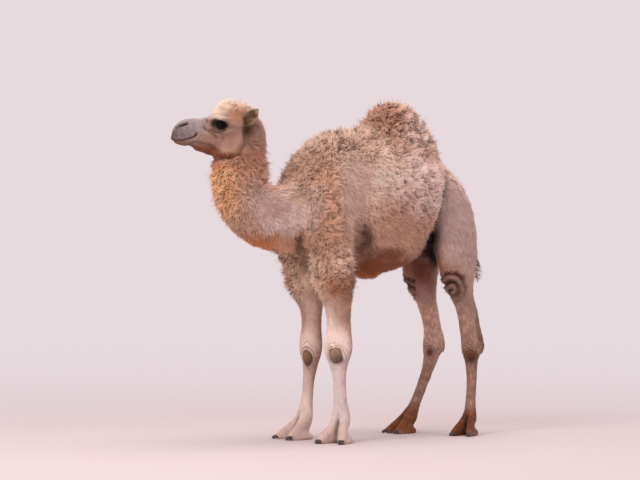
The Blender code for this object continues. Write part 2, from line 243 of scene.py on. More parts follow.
@dataclass
class Surface:
    """Points, four-sided faces and three-sided faces, all as whole arrays."""

    points: Array
    quads: Array = field(default_factory=lambda: np.zeros((0, 4), int))
    tris: Array = field(default_factory=lambda: np.zeros((0, 3), int))

    @staticmethod
    def joined(parts: list[Surface]) -> Surface:
        """Several surfaces as one.

        Args:
            parts: the surfaces.

        Returns:
            One surface with the parts in their order.
        """
        starts = np.cumsum([0] + [len(p.points) for p in parts])
        return Surface(np.concatenate([p.points for p in parts]),
                       np.concatenate([p.quads + s for p, s in zip(parts, starts)]),
                       np.concatenate([p.tris + s for p, s in zip(parts, starts)]))

    def moved(self, place: Place) -> Surface:
        """The surface carried to a place, with its faces turned back if the place mirrors.

        Args:
            place: where to.

        Returns:
            The surface there.
        """
        flip = place.mirrors
        return Surface(place.out(self.points), self.quads[:, ::-1] if flip else self.quads,
                       self.tris[:, ::-1] if flip else self.tris)

    def mesh(self, name: str) -> Mesh:
        """A smooth-shaded mesh of the surface, still in the stance frame.

        Args:
            name: the mesh's name.

        Returns:
            The mesh.
        """
        mesh = bpy.data.meshes.new(name)
        mesh.vertices.add(len(self.points))
        mesh.vertices.foreach_set("co", self.points.astype(np.float32).ravel())
        corners = np.concatenate([self.quads.ravel(), self.tris.ravel()]).astype(np.int32)
        sizes = np.concatenate([np.full(len(self.quads), 4), np.full(len(self.tris), 3)])
        mesh.loops.add(len(corners))
        mesh.loops.foreach_set("vertex_index", corners)
        mesh.polygons.add(len(sizes))
        mesh.polygons.foreach_set("loop_start", (np.cumsum(sizes) - sizes).astype(np.int32))
        mesh.polygons.foreach_set("use_smooth", np.ones(len(sizes), bool))
        mesh.update(calc_edges=True)
        mesh.validate()
        return mesh


@dataclass(frozen=True)
class Place:
    """A frame of its own: three axes as the rows of a 3 x 3 array, and an origin."""

    axes: Array
    origin: Array

    def out(self, points: Array) -> Array:
        """Points of this frame in the stance frame."""
        return points @ self.axes + self.origin

    def into(self, points: Array) -> Array:
        """Points of the stance frame in this one."""
        return (points - self.origin) @ self.axes.T

    @property
    def mirrors(self) -> bool:
        """True if the axes are left-handed."""
        return bool(np.linalg.det(self.axes) < 0)

    def within(self, outer: Place) -> Place:
        """This frame, given in the outer one, as a frame of the stance."""
        return Place(self.axes @ outer.axes, outer.out(self.origin[None])[0])


def smooth_rows(rows: Rows, steps: int) -> Array:
    """Rows of numbers joined by a uniform cubic B-spline that starts and ends on the end rows.

    Between rows b and c, with a before and d after, a point at share t is
    ((1-t)^3 a + (3t^3 - 6t^2 + 4) b + (-3t^3 + 3t^2 + 3t + 1) c + t^3 d) / 6.

    Args:
        rows: the rows, each with the same count of numbers.
        steps: how many rows are made for each given one.

    Returns:
        The rows, finer.
    """
    given = np.asarray(rows, float)
    knots = np.vstack([given[:1], given[:1], given, given[-1:], given[-1:]])
    t = (np.arange(steps) / steps)[:, None]
    blend = np.hstack([(1 - t) ** 3, 3 * t**3 - 6 * t**2 + 4, -3 * t**3 + 3 * t**2 + 3 * t + 1, t**3]) / 6
    runs = np.stack([knots[i:len(knots) - 3 + i] for i in range(4)], axis=1)
    line = np.einsum("ta,rac->rtc", blend, runs).reshape(-1, given.shape[1])
    return np.vstack([line, given[-1:]])


def closed_tube(grid: Array) -> Surface:
    """A tube from rings x sides x 3 points, with a point to close each end, faces outward.

    The rings run forward and each ring goes round by the right hand about the way forward.

    Args:
        grid: the points of the rings.

    Returns:
        The tube.
    """
    rings, sides = grid.shape[:2]
    index = np.arange(rings * sides).reshape(rings, sides)
    after = np.roll(index, -1, axis=1)
    quads = np.stack([index[:-1], after[:-1], after[1:], index[1:]], axis=-1).reshape(-1, 4)
    first, last = rings * sides, rings * sides + 1
    start = np.stack([np.full(sides, first), after[0], index[0]], axis=1)
    end = np.stack([np.full(sides, last), index[-1], after[-1]], axis=1)
    points = np.vstack([grid.reshape(-1, 3), grid[0].mean(axis=0), grid[-1].mean(axis=0)])
    return Surface(points, quads, np.vstack([start, end]))


def swept_tube(rows: Rows, turn: float = 0.0, place: Place | None = None,
               sides: int = 28, steps: int = 5) -> Surface:
    """A pear-shaped ring carried along a smooth path.

    At angle a the ring stands out wide * cos(a) * (1 - pear * sin(a)) across the body and
    deep * sin(a) the other way, where the other way is forward x across.

    Args:
        rows: x, y, z, wide, deep and pear of each station.
        turn: how far the across direction is turned about Z.
        place: the frame that the rows are given in.
        sides: points round each ring.
        steps: rings from one station to the next.

    Returns:
        The closed tube, in the stance frame.
    """
    line = smooth_rows(tuple(tuple(r) + (0.0,) * (6 - len(r)) for r in rows), steps)
    centre, (wide, deep, pear) = line[:, :3], line[:, 3:6].T[:, :, None]
    forward = unit(np.gradient(centre, axis=0))
    across = np.array((math.cos(turn), math.sin(turn), 0.0))
    across = unit(across - forward * (forward @ across)[:, None])
    upright = np.cross(forward, across)
    angle = np.linspace(0, 2 * np.pi, sides, endpoint=False)[None]
    out, rise = wide * np.cos(angle) * (1 - pear * np.sin(angle)), deep * np.sin(angle)
    grid = centre[:, None] + across[:, None] * out[..., None] + upright[:, None] * rise[..., None]
    tube = closed_tube(grid)
    return tube.moved(place) if place else tube


# ---- where things are

class Side(Enum):
    """Which side of the animal; the value is the sign of its x."""

    LEFT = 1
    RIGHT = -1

    @property
    def word(self) -> str:
        """The side's name, as in the node names."""
        return self.name.lower()


class Realm(Enum):
    """The frame in which a patch is given."""

    BODY = "body"   # x, behind the fore feet, up
    HEAD = "head"   # sideways, ahead of the poll, up from it


@dataclass(frozen=True)
class HeadFrame:
    """The head's own frame: sideways, ahead, up, from the poll, turned to the calf's right."""

    poll: Triple = (-0.062, -0.316, 1.262)
    turn: float = math.radians(24)

    def place(self, side: Side = Side.LEFT) -> Place:
        """Axes sideways, ahead and up; sideways is outward on the given side.

        Args:
            side: left or right.

        Returns:
            The frame.
        """
        s, c = math.sin(self.turn), math.cos(self.turn)
        sideways = np.array((c, -s, 0.0)) * side.value
        return Place(np.array((sideways, (-s, -c, 0.0), (0.0, 0.0, 1.0))), np.array(self.poll))

    def local(self, points: Array) -> Array:
        """Points of the stance frame, given in the head's."""
        return self.place().into(points)


HEAD = HeadFrame()


@dataclass(frozen=True)
class Leg:
    """One leg: its name, kind, side, where its foot and its knee or hock are, and its turn."""

    name: str
    fore: bool
    side: Side
    foot: float
    joint: float
    turn: float

    @property
    def spread(self) -> float:
        """Hind feet are narrower."""
        return 1.0 if self.fore else 0.76

    @property
    def reach(self) -> float:
        """Hind feet are a little shorter."""
        return 1.0 if self.fore else 0.95

    @property
    def x(self) -> float:
        """The leg's axis."""
        return self.side.value * HALF_STANCE

    def sized(self, rows: Rows, toe: int, upright: float = 1.0) -> Array:
        """A toe's rows at this foot's spread and reach, for the inner toe (-1) or the outer (1)."""
        return np.array(rows) * (toe * self.spread, self.reach, upright, self.spread, upright)

    def foot_place(self) -> Place:
        """The foot's frame: across, behind, up.

        Returns:
            The frame, with its origin on the floor.
        """
        s, c = math.sin(self.turn), math.cos(self.turn)
        return Place(np.array(((c, s, 0.0), (-s, c, 0.0), (0.0, 0.0, 1.0))),
                     np.array((self.x, self.foot, 0.0)))


LEGS = (
    Leg("left_fore", True, Side.LEFT, 0.017, 0.002, math.radians(28)),
    Leg("right_fore", True, Side.RIGHT, 0.012, 0.042, math.radians(-2)),
    Leg("left_hind", False, Side.LEFT, 0.684, 0.694, math.radians(26)),
    Leg("right_hind", False, Side.RIGHT, 0.558, 0.682, math.radians(-2)),
)


@dataclass(frozen=True)
class Patch:
    """A soft-edged ellipsoid somewhere on the animal."""

    centre: Triple
    reach: Triple
    realm: Realm = Realm.BODY
    soft: float = 0.45
    strength: float = 1.0
    mirrored: bool = True

    def weight(self, points: Array) -> Array:
        """strength inside, 0 outside, easing over the soft share of the way from 1 - soft to 1 + soft.

        Args:
            points: places in the stance frame, N x 3.

        Returns:
            A weight for each place.
        """
        local = HEAD.local(points) if self.realm is Realm.HEAD else points
        if self.mirrored:
            local = np.column_stack([np.abs(local[:, 0]), local[:, 1:]])
        far = np.linalg.norm((local - np.array(self.centre)) / np.array(self.reach), axis=1)
        return self.strength * (1 - ease((far - 1 + self.soft) / (2 * self.soft)))


# ---- markings

@dataclass(frozen=True)
class Marking:
    """A colour of the coat and the patch that it covers."""

    patch: Patch
    colour: Triple


def body(x: float, y: float, z: float, rx: float, ry: float, rz: float, **more: float | bool) -> Patch:
    """A patch of the body."""
    return Patch((x, y, z), (rx, ry, rz), **more)


def face(x: float, y: float, z: float, rx: float, ry: float, rz: float, **more: float | bool) -> Patch:
    """A patch of the head, in the head's own frame."""
    return Patch((x, y, z), (rx, ry, rz), Realm.HEAD, **more)


@dataclass(frozen=True)
class Markings:
    """The colours of the whole animal, each laid over the one before it."""

    ground: Triple = (196, 156, 134)
    layers: tuple[Marking, ...] = (
        # barrel, hump and quarters
        Marking(body(0.2, 0.18, 1.0, 0.12, 0.13, 0.18), (249, 214, 196)),
        Marking(body(0.2, 0.3, 0.86, 0.1, 0.22, 0.1), (202, 158, 136)),
        Marking(body(0.0, 0.385, 1.3, 0.24, 0.24, 0.14), (220, 176, 154)),
        Marking(body(0.19, 0.38, 1.03, 0.09, 0.13, 0.13), (244, 210, 198)),
        Marking(body(0.1, 0.42, 1.24, 0.1, 0.09, 0.1), (240, 202, 188)),
        Marking(body(0.04, 0.3, 1.32, 0.1, 0.07, 0.07), (194, 144, 124)),
        Marking(body(0.1, 0.26, 1.25, 0.14, 0.07, 0.06, strength=0.3), (160, 112, 84)),
        Marking(body(0.0, 0.03, 1.22, 0.22, 0.18, 0.13), (203, 168, 149)),
        Marking(body(0.13, -0.08, 0.98, 0.1, 0.12, 0.2), (226, 176, 148)),
        Marking(body(0.11, -0.09, 1.11, 0.09, 0.08, 0.06), (198, 160, 137)),
        Marking(body(0.11, -0.17, 1.0, 0.08, 0.07, 0.12), (212, 178, 160)),
        Marking(body(0.19, 0.03, 1.0, 0.1, 0.07, 0.19), (210, 178, 162)),
        Marking(body(0.1, 0.6, 1.04, 0.16, 0.15, 0.13), (222, 190, 180)),
        Marking(body(0.14, 0.63, 0.84, 0.12, 0.16, 0.17), (184, 158, 150)),
        # painted shade along the underside of the belly
        Marking(body(0.0, 0.32, 0.69, 0.22, 0.28, 0.055), (134, 75, 43)),
        Marking(body(0.0, 0.235, 0.645, 0.08, 0.08, 0.026), (168, 104, 66)),
        # painted shade low on the belly
        Marking(body(0.15, 0.24, 0.745, 0.08, 0.1, 0.036, strength=0.85), (123, 64, 36)),
        # painted shade on the ribs behind the elbow
        Marking(body(0.13, 0.13, 0.765, 0.06, 0.032, 0.08, strength=0.8), (88, 51, 39)),
        # neck and breast
        Marking(body(-0.05, -0.35, 1.02, 0.16, 0.2, 0.24), (198, 158, 138)),
        # the front of the neck: its own pale cream with painted warm light falling on it
        Marking(body(-0.05, -0.48, 0.98, 0.16, 0.08, 0.22), (244, 186, 142)),
        Marking(body(0.02, -0.36, 1.12, 0.12, 0.09, 0.08), (200, 145, 118)),
        Marking(body(-0.06, -0.24, 1.12, 0.12, 0.07, 0.14), (242, 176, 150)),
        Marking(body(0.08, -0.22, 0.92, 0.1, 0.16, 0.09), (206, 178, 168)),
        Marking(body(0.08, -0.22, 0.855, 0.08, 0.1, 0.04), (216, 190, 182)),
        Marking(body(-0.02, -0.33, 0.775, 0.14, 0.17, 0.04), (202, 133, 89)),
        Marking(body(0.0, -0.12, 0.77, 0.18, 0.12, 0.07), (207, 160, 134)),
        Marking(body(0.06, -0.266, 0.925, 0.07, 0.05, 0.05), (188, 155, 144)),
        Marking(body(0.12, -0.161, 1.0, 0.06, 0.05, 0.07), (194, 156, 134)),
        # fore legs
        Marking(body(0.13, -0.01, 0.7, 0.11, 0.1, 0.07), (230, 192, 168)),
        Marking(body(-0.14, -0.05, 0.68, 0.1, 0.09, 0.14, mirrored=False), (225, 178, 146)),
        Marking(body(0.12, 0.0, 0.61, 0.11, 0.11, 0.06), (188, 134, 104)),
        Marking(body(0.07, -0.06, 0.62, 0.06, 0.06, 0.15), (242, 208, 182)),
        Marking(body(0.12, 0.03, 0.5, 0.1, 0.12, 0.08), (190, 152, 132)),
        Marking(body(0.08, -0.04, 0.5, 0.07, 0.06, 0.1), (204, 172, 146)),
        Marking(body(0.12, -0.01, 0.24, 0.12, 0.18, 0.26, soft=0.6), (206, 190, 186)),
        Marking(body(-0.12, 0.02, 0.26, 0.1, 0.16, 0.26, mirrored=False, soft=0.6), (210, 188, 178)),
        Marking(body(0.12, -0.02, 0.4, 0.09, 0.07, 0.06, soft=0.7), (232, 208, 196)),
        # painted shade down the back of the fore legs
        Marking(body(0.12, 0.07, 0.36, 0.09, 0.058, 0.28, strength=0.9), (136, 92, 74)),
        Marking(body(0.145, 0.02, 0.52, 0.05, 0.05, 0.1, strength=0.8), (164, 124, 104)),
        Marking(body(0.12, -0.04, 0.03, 0.14, 0.16, 0.05), (198, 172, 160)),
        # hind legs
        Marking(body(0.12, 0.64, 0.5, 0.1, 0.16, 0.13), (154, 122, 108)),
        Marking(body(0.12, 0.66, 0.22, 0.1, 0.24, 0.2), (142, 110, 94)),
        Marking(body(0.12, 0.75, 0.42, 0.05, 0.05, 0.16), (118, 84, 70)),
        Marking(body(-0.12, 0.6, 0.46, 0.09, 0.16, 0.16, mirrored=False), (188, 152, 134)),
        Marking(body(0.12, 0.62, 0.045, 0.12, 0.22, 0.065), (101, 53, 27)),
        Marking(body(-0.12, 0.6, 0.045, 0.08, 0.22, 0.065, mirrored=False), (118, 68, 38)),
        # shade under the flank and between the thighs
        Marking(body(0.0, 0.6, 0.74, 0.1, 0.16, 0.2, strength=0.9), (119, 57, 36)),
        Marking(body(-0.01, 0.68, 0.765, 0.095, 0.09, 0.085, mirrored=False, soft=0.25), (22, 7, 4)),
        Marking(body(-0.01, 0.58, 0.79, 0.1, 0.09, 0.06, mirrored=False, soft=0.25, strength=0.8),
                (40, 16, 10)),
        Marking(body(0.05, 0.49, 0.82, 0.085, 0.07, 0.1), (26, 9, 5)),
        # tail
        Marking(body(0.0, 0.8, 0.72, 0.05, 0.07, 0.16), (150, 112, 94)),
        Marking(body(0.0, 0.81, 0.62, 0.06, 0.07, 0.07), (176, 134, 110)),
        # head
        Marking(face(0.0, 0.12, -0.04, 0.14, 0.22, 0.14), (146, 112, 98)),
        Marking(face(0.0, 0.02, 0.06, 0.1, 0.09, 0.06), (216, 172, 150)),
        Marking(face(0.0, -0.01, 0.06, 0.1, 0.04, 0.05), (222, 188, 174)),
        Marking(face(0.0, 0.115, 0.035, 0.07, 0.05, 0.035), (218, 190, 168)),
        # the forehead: pale hair of its own with painted warm light on top
        Marking(face(0.0, 0.08, 0.062, 0.08, 0.04, 0.034), (238, 208, 186)),
        Marking(face(0.06, 0.035, 0.01, 0.04, 0.045, 0.022, strength=0.85), (172, 120, 90)),
        Marking(face(0.06, 0.05, -0.07, 0.05, 0.05, 0.06), (148, 112, 98)),
        Marking(face(0.06, 0.12, 0.007, 0.03, 0.034, 0.009), (196, 172, 160)),
        Marking(face(0.0, 0.23, -0.02, 0.09, 0.075, 0.06), (142, 126, 126)),
        Marking(face(0.0, 0.2, 0.012, 0.04, 0.08, 0.016), (160, 142, 138)),
        Marking(face(0.0, 0.265, -0.06, 0.07, 0.06, 0.024), (118, 102, 102)),
        Marking(face(0.0, 0.3, -0.066, 0.05, 0.026, 0.026, strength=0.75), (76, 58, 58)),
        Marking(face(0.0, 0.25, -0.098, 0.06, 0.05, 0.016), (118, 89, 74)),
        # painted shade along the underside of the jaw, here and on the next line
        Marking(face(0.0, 0.17, -0.12, 0.07, 0.07, 0.022), (118, 66, 42)),
        Marking(face(0.02, 0.1, -0.142, 0.09, 0.11, 0.017, strength=0.9), (104, 48, 22)),
        Marking(face(0.07, 0.008, -0.03, 0.03, 0.018, 0.04), (92, 54, 35)),
        Marking(face(0.0, 0.1, -0.182, 0.09, 0.1, 0.022), (222, 158, 118)),
    )
    # dark round the eye: dark skin of the lids and the front corner, with painted shade of the lids and
    # lashes over it and in the fold under the eye
    dark: tuple[Marking, ...] = (
        Marking(face(0.07, 0.126, -0.04, 0.03, 0.026, 0.011, soft=0.7, strength=0.75), (84, 58, 48)),
        Marking(face(0.07, 0.106, -0.0252, 0.034, 0.024, 0.0178, soft=0.26), (15, 8, 6)),
        Marking(face(0.066, 0.136, -0.015, 0.028, 0.018, 0.02, soft=0.4), (34, 15, 6)),
        Marking(face(0.066, 0.16, 0.006, 0.03, 0.0035, 0.008, soft=0.7, strength=0.6), (66, 48, 42)),
    )

    def toe_split(self, points: Array) -> Array:
        """exp(-(distance across the foot / 0.007)^2) on the front of each foot, strongest at the fetlock.

        Args:
            points: places in the stance frame, N x 3.

        Returns:
            A weight from 0 to 1 for each place.
        """
        split = np.zeros(len(points))
        for leg in LEGS:
            across, back, up = leg.foot_place().into(points).T
            front = (np.abs(across) < 0.04) & (back < 0.004) & (back > -0.13) & (up < 0.12)
            rising = ease((up - 0.012) / 0.03) * (1 - ease((up - 0.08) / 0.02))
            split = np.maximum(split, front * np.exp(-((across / 0.007) ** 2)) * (0.45 + 0.55 * rising))
        return split

    def at(self, points: Array) -> Array:
        """Linear colour of the coat at each point, N x 3.

        Args:
            points: places in the stance frame, N x 3.

        Returns:
            The colours.
        """
        drift = np.stack([waves(points, 0.09, seed) for seed in (21, 22, 23)], axis=1)
        wandered = points + 0.009 * drift * ease((points[:, 2:] - 0.45) / 0.2) * (points[:, 1:2] > -0.28)
        colour = np.tile(linear(self.ground), (len(points), 1))
        for layers, places in ((self.layers, wandered), (self.dark, points)):
            for layer in layers:
                colour = colour + (linear(layer.colour) - colour) * layer.patch.weight(places)[:, None]
        # painted shade: the grooves of the face and body are darkened by their tone
        for stroke in FACE_LINES + CREASES:
            if stroke.tone < 1.0:
                colour = colour * (1 - (1 - stroke.tone) * stroke.weight(points))[:, None]
        for pad in PADS:
            colour = pad.paint(points, colour)
        # painted shade in the groove between the toes
        colour = colour * (1 - 0.62 * self.toe_split(points))[:, None]
        hind = (1 - ease((points[:, 2] - 0.5) / 0.08)) * ease((points[:, 1] - 0.3) / 0.05)
        speckle = ease((waves(points * np.array((1, 1, 0.6)), 0.013, 13) - 0.4) / 0.8)
        mottle = 1 + 0.05 * waves(points, 0.07, 11) + 0.045 * waves(points, 0.022, 12)
        mottle = mottle + hind * (0.13 * waves(points, 0.034, 14) + 0.5 * speckle)
        nose = ease((HEAD.local(points)[:, 1] - 0.19) / 0.04) * (points[:, 1] < -0.3)
        mottle = mottle + nose * (0.07 * waves(points, 0.016, 15) + 0.05 * waves(points, 0.006, 16))
        return np.clip(colour * mottle[:, None], 0.0, 0.95)


# ---- the face's lines

@dataclass(frozen=True)
class FaceLine:
    """A soft groove or ridge along a line on the side of the head.

    The line is given ahead of the poll and up from it. The surface moves out by
    rise * exp(-(distance / reach)^2), and its colour is multiplied by tone on the line,
    which is painted shade along the groove.
    """

    path: Rows
    reach: float
    rise: float
    tone: float = 1.0
    wraps: bool = False   # goes on round the front of the muzzle

    def weight(self, points: Array) -> Array:
        """exp(-(distance / reach)^2), and nothing away from the head's sides unless it wraps.

        Args:
            points: places in the stance frame, N x 3.

        Returns:
            A weight from 0 to 1 for each place.
        """
        local = HEAD.local(points)
        near = line_weight(local[:, 1:], self.path, self.reach)
        inner = 0.0 if self.wraps else 0.012
        near = near * ease((np.abs(local[:, 0]) - inner) / 0.012 + (1.0 if self.wraps else 0.0))
        return near * (np.abs(local[:, 0]) < 0.13) * (local[:, 1] > -0.06)


MOUTH: Rows = ((0.304, -0.077), (0.288, -0.082), (0.27, -0.0832), (0.252, -0.0808), (0.232, -0.0762),
               (0.2166, -0.0715), (0.206, -0.066), (0.2014, -0.0598))
NOSTRIL: Rows = ((0.279, -0.0355), (0.27, -0.0285), (0.257, -0.024), (0.245, -0.02), (0.236, -0.018))

# Each line whose tone is below 1 is a groove darkened with painted shade: the mouth's parting, the nostril,
# the folds round the eye and the jaw line.
FACE_LINES = (
    FaceLine(MOUTH, 0.0026, -0.0062, 0.42, True),
    FaceLine(((0.302, -0.071), (0.28, -0.074), (0.255, -0.075), (0.232, -0.069), (0.214, -0.062)),
             0.007, 0.0032, 1.0, True),
    FaceLine(((0.29, -0.094), (0.262, -0.098), (0.236, -0.093), (0.222, -0.084)), 0.008, 0.0042, 1.0, True),
    FaceLine(((0.203, -0.062), (0.199, -0.0545)), 0.0042, -0.0055, 0.52),
    FaceLine(((0.193, -0.072), (0.19, -0.056), (0.194, -0.046)), 0.006, 0.003),
    FaceLine(NOSTRIL, 0.005, -0.011, 0.08),
    FaceLine(((0.258, -0.042), (0.252, -0.056), (0.25, -0.068)), 0.005, -0.0016, 0.84),
    FaceLine(((0.236, -0.036), (0.23, -0.05), (0.228, -0.062)), 0.005, -0.0016, 0.86),
    FaceLine(((0.212, -0.02), (0.208, -0.036), (0.21, -0.05)), 0.006, -0.0018, 0.86),
    FaceLine(((0.276, -0.042), (0.262, -0.033), (0.247, -0.0265)), 0.0036, -0.001, 0.62),
    FaceLine(((0.283, -0.029), (0.27, -0.0185), (0.254, -0.013), (0.236, -0.01)), 0.006, 0.0034),
    FaceLine(((0.277, -0.045), (0.262, -0.035), (0.245, -0.029), (0.23, -0.024)), 0.0055, 0.0032),
    FaceLine(((0.284, -0.05), (0.276, -0.062), (0.274, -0.07)), 0.006, -0.0018, 0.85),
    FaceLine(((0.23, -0.106), (0.218, -0.107), (0.204, -0.108)), 0.007, -0.0046, 0.78, True),
    FaceLine(((0.208, -0.089), (0.176, -0.096), (0.144, -0.103), (0.118, -0.123)), 0.0058, -0.0042, 0.7),
    FaceLine(((0.2, -0.08), (0.17, -0.083), (0.135, -0.09)), 0.01, 0.003),
    FaceLine(((0.2, -0.102), (0.17, -0.113), (0.14, -0.118)), 0.008, 0.003),
    FaceLine(((0.171, -0.033), (0.158, -0.044), (0.1447, -0.0538), (0.13, -0.065), (0.1226, -0.0714)),
             0.0046, -0.0042, 0.5),
    FaceLine(((0.15, -0.039), (0.14, -0.0475), (0.128, -0.053), (0.108, -0.052), (0.088, -0.042)),
             0.0034, -0.003, 0.46),
    FaceLine(((0.1, -0.06), (0.084, -0.064), (0.07, -0.056)), 0.0034, -0.002, 0.66),
    FaceLine(((0.112, -0.054), (0.102, -0.068), (0.098, -0.076)), 0.0032, -0.0018, 0.66),
    FaceLine(((0.1447, -0.033), (0.13, -0.044), (0.108, -0.044), (0.09, -0.036)), 0.004, 0.0026),
    FaceLine(((0.166, 0.008), (0.16, -0.002), (0.159, -0.01)), 0.003, -0.003, 0.45),
    FaceLine(((0.156, -0.003), (0.138, 0.006), (0.118, 0.009), (0.096, 0.004), (0.08, -0.007)),
             0.0075, 0.0048),
    FaceLine(((0.152, 0.015), (0.13, 0.024), (0.104, 0.022), (0.084, 0.008)), 0.004, -0.0026, 0.74),
    FaceLine(((0.098, 0.03), (0.086, 0.023), (0.076, 0.015)), 0.004, -0.0012, 0.62),
    FaceLine(((0.076, -0.02), (0.05, -0.021), (0.025, -0.028)), 0.008, 0.0034),
    FaceLine(((0.078, -0.03), (0.06, -0.036), (0.044, -0.038)), 0.005, -0.0018, 0.78),
    FaceLine(((0.185, -0.048), (0.165, -0.059), (0.14, -0.07)), 0.009, 0.003),
    FaceLine(((0.03, -0.06), (0.032, -0.095), (0.06, -0.128), (0.11, -0.14), (0.16, -0.132)),
             0.012, 0.0046, 1.0),
    FaceLine(((0.016, -0.05), (0.014, -0.09), (0.04, -0.142), (0.11, -0.157)), 0.0085, -0.006, 0.84),
    FaceLine(((0.06, -0.06), (0.062, -0.09), (0.085, -0.115)), 0.011, -0.0026, 0.92),
)


# ---- folds of the body

@dataclass(frozen=True)
class Crease:
    """A groove or ridge along a line in space, the same on both sides.

    The surface moves out by rise * exp(-(distance / reach)^2), and its colour is multiplied
    by tone on the line, which is painted shade in the groove.
    """

    path: Rows
    reach: float
    rise: float
    tone: float = 1.0
    bare: bool = False

    def weight(self, points: Array) -> Array:
        """exp(-(distance / reach)^2)."""
        local = np.column_stack([np.abs(points[:, 0]), points[:, 1:]])
        return line_weight(local, self.path, self.reach)


CREASES = (
    # flank fold, in front of the thigh, and the edge of the belly's wool over it; the fold's near-black is
    # painted shade
    Crease(((0.15, 0.492, 0.985), (0.146, 0.483, 0.92), (0.138, 0.478, 0.86), (0.118, 0.48, 0.815),
            (0.09, 0.48, 0.78)), 0.022, -0.042, 0.03, True),
    Crease(((0.15, 0.52, 1.06), (0.15, 0.5, 0.995)), 0.018, -0.014, 0.45),
    Crease(((0.19, 0.455, 1.02), (0.19, 0.43, 0.93), (0.175, 0.405, 0.85)), 0.03, 0.009),
    # behind the elbow, darkened with painted shade
    Crease(((0.142, 0.118, 0.85), (0.13, 0.13, 0.8), (0.114, 0.144, 0.755), (0.085, 0.168, 0.71)),
           0.024, -0.018, 0.26),
    # between neck and shoulder, darkened with painted shade
    Crease(((0.06, -0.13, 1.09), (0.08, -0.175, 1.01), (0.095, -0.205, 0.93), (0.095, -0.215, 0.86),
            (0.07, -0.2, 0.78)), 0.016, -0.013, 0.6),
    # under the wool of the withers, darkened with painted shade
    Crease(((0.0, -0.16, 1.07), (0.05, -0.15, 1.06), (0.09, -0.12, 1.03)), 0.018, -0.01, 0.66),
    # in front of the hump, darkened with painted shade
    Crease(((0.0, 0.2, 1.265), (0.08, 0.225, 1.245), (0.13, 0.28, 1.19)), 0.022, -0.009, 0.7),
    # under the breast's wool, above the forearms, darkened with painted shade
    Crease(((0.04, -0.09, 0.735), (0.09, -0.13, 0.73), (0.14, -0.11, 0.73)), 0.018, -0.012, 0.6),
    Crease(((0.062, -0.145, 0.8), (0.041, -0.127, 0.769), (0.02, -0.08, 0.75), (0.03, -0.03, 0.742)),
           0.02, -0.016, 0.28),
    Crease(((0.05, -0.06, 0.74), (0.055, -0.02, 0.7), (0.06, 0.05, 0.7)), 0.03, -0.012, 0.6),
    # tendons of the fore and hind legs, with painted shade in the grooves beside them
    Crease(((0.165, 0.01, 0.58), (0.16, 0.014, 0.5), (0.155, 0.012, 0.43)), 0.006, -0.005, 0.62),
    Crease(((0.145, -0.03, 0.56), (0.148, -0.028, 0.44)), 0.006, -0.003, 0.74),
    Crease(((0.152, -0.01, 0.56), (0.15, -0.01, 0.43)), 0.007, 0.004),
    Crease(((0.135, 0.024, 0.27), (0.135, 0.03, 0.15)), 0.006, -0.003, 0.8),
    Crease(((0.15, 0.69, 0.56), (0.15, 0.706, 0.47), (0.152, 0.722, 0.39)), 0.008, -0.013, 0.36),
    Crease(((0.152, 0.676, 0.54), (0.152, 0.694, 0.45)), 0.006, 0.003, 1.0),
    Crease(((0.14, 0.712, 0.29), (0.138, 0.704, 0.16)), 0.006, -0.004, 0.7),
)


# ---- callous pads

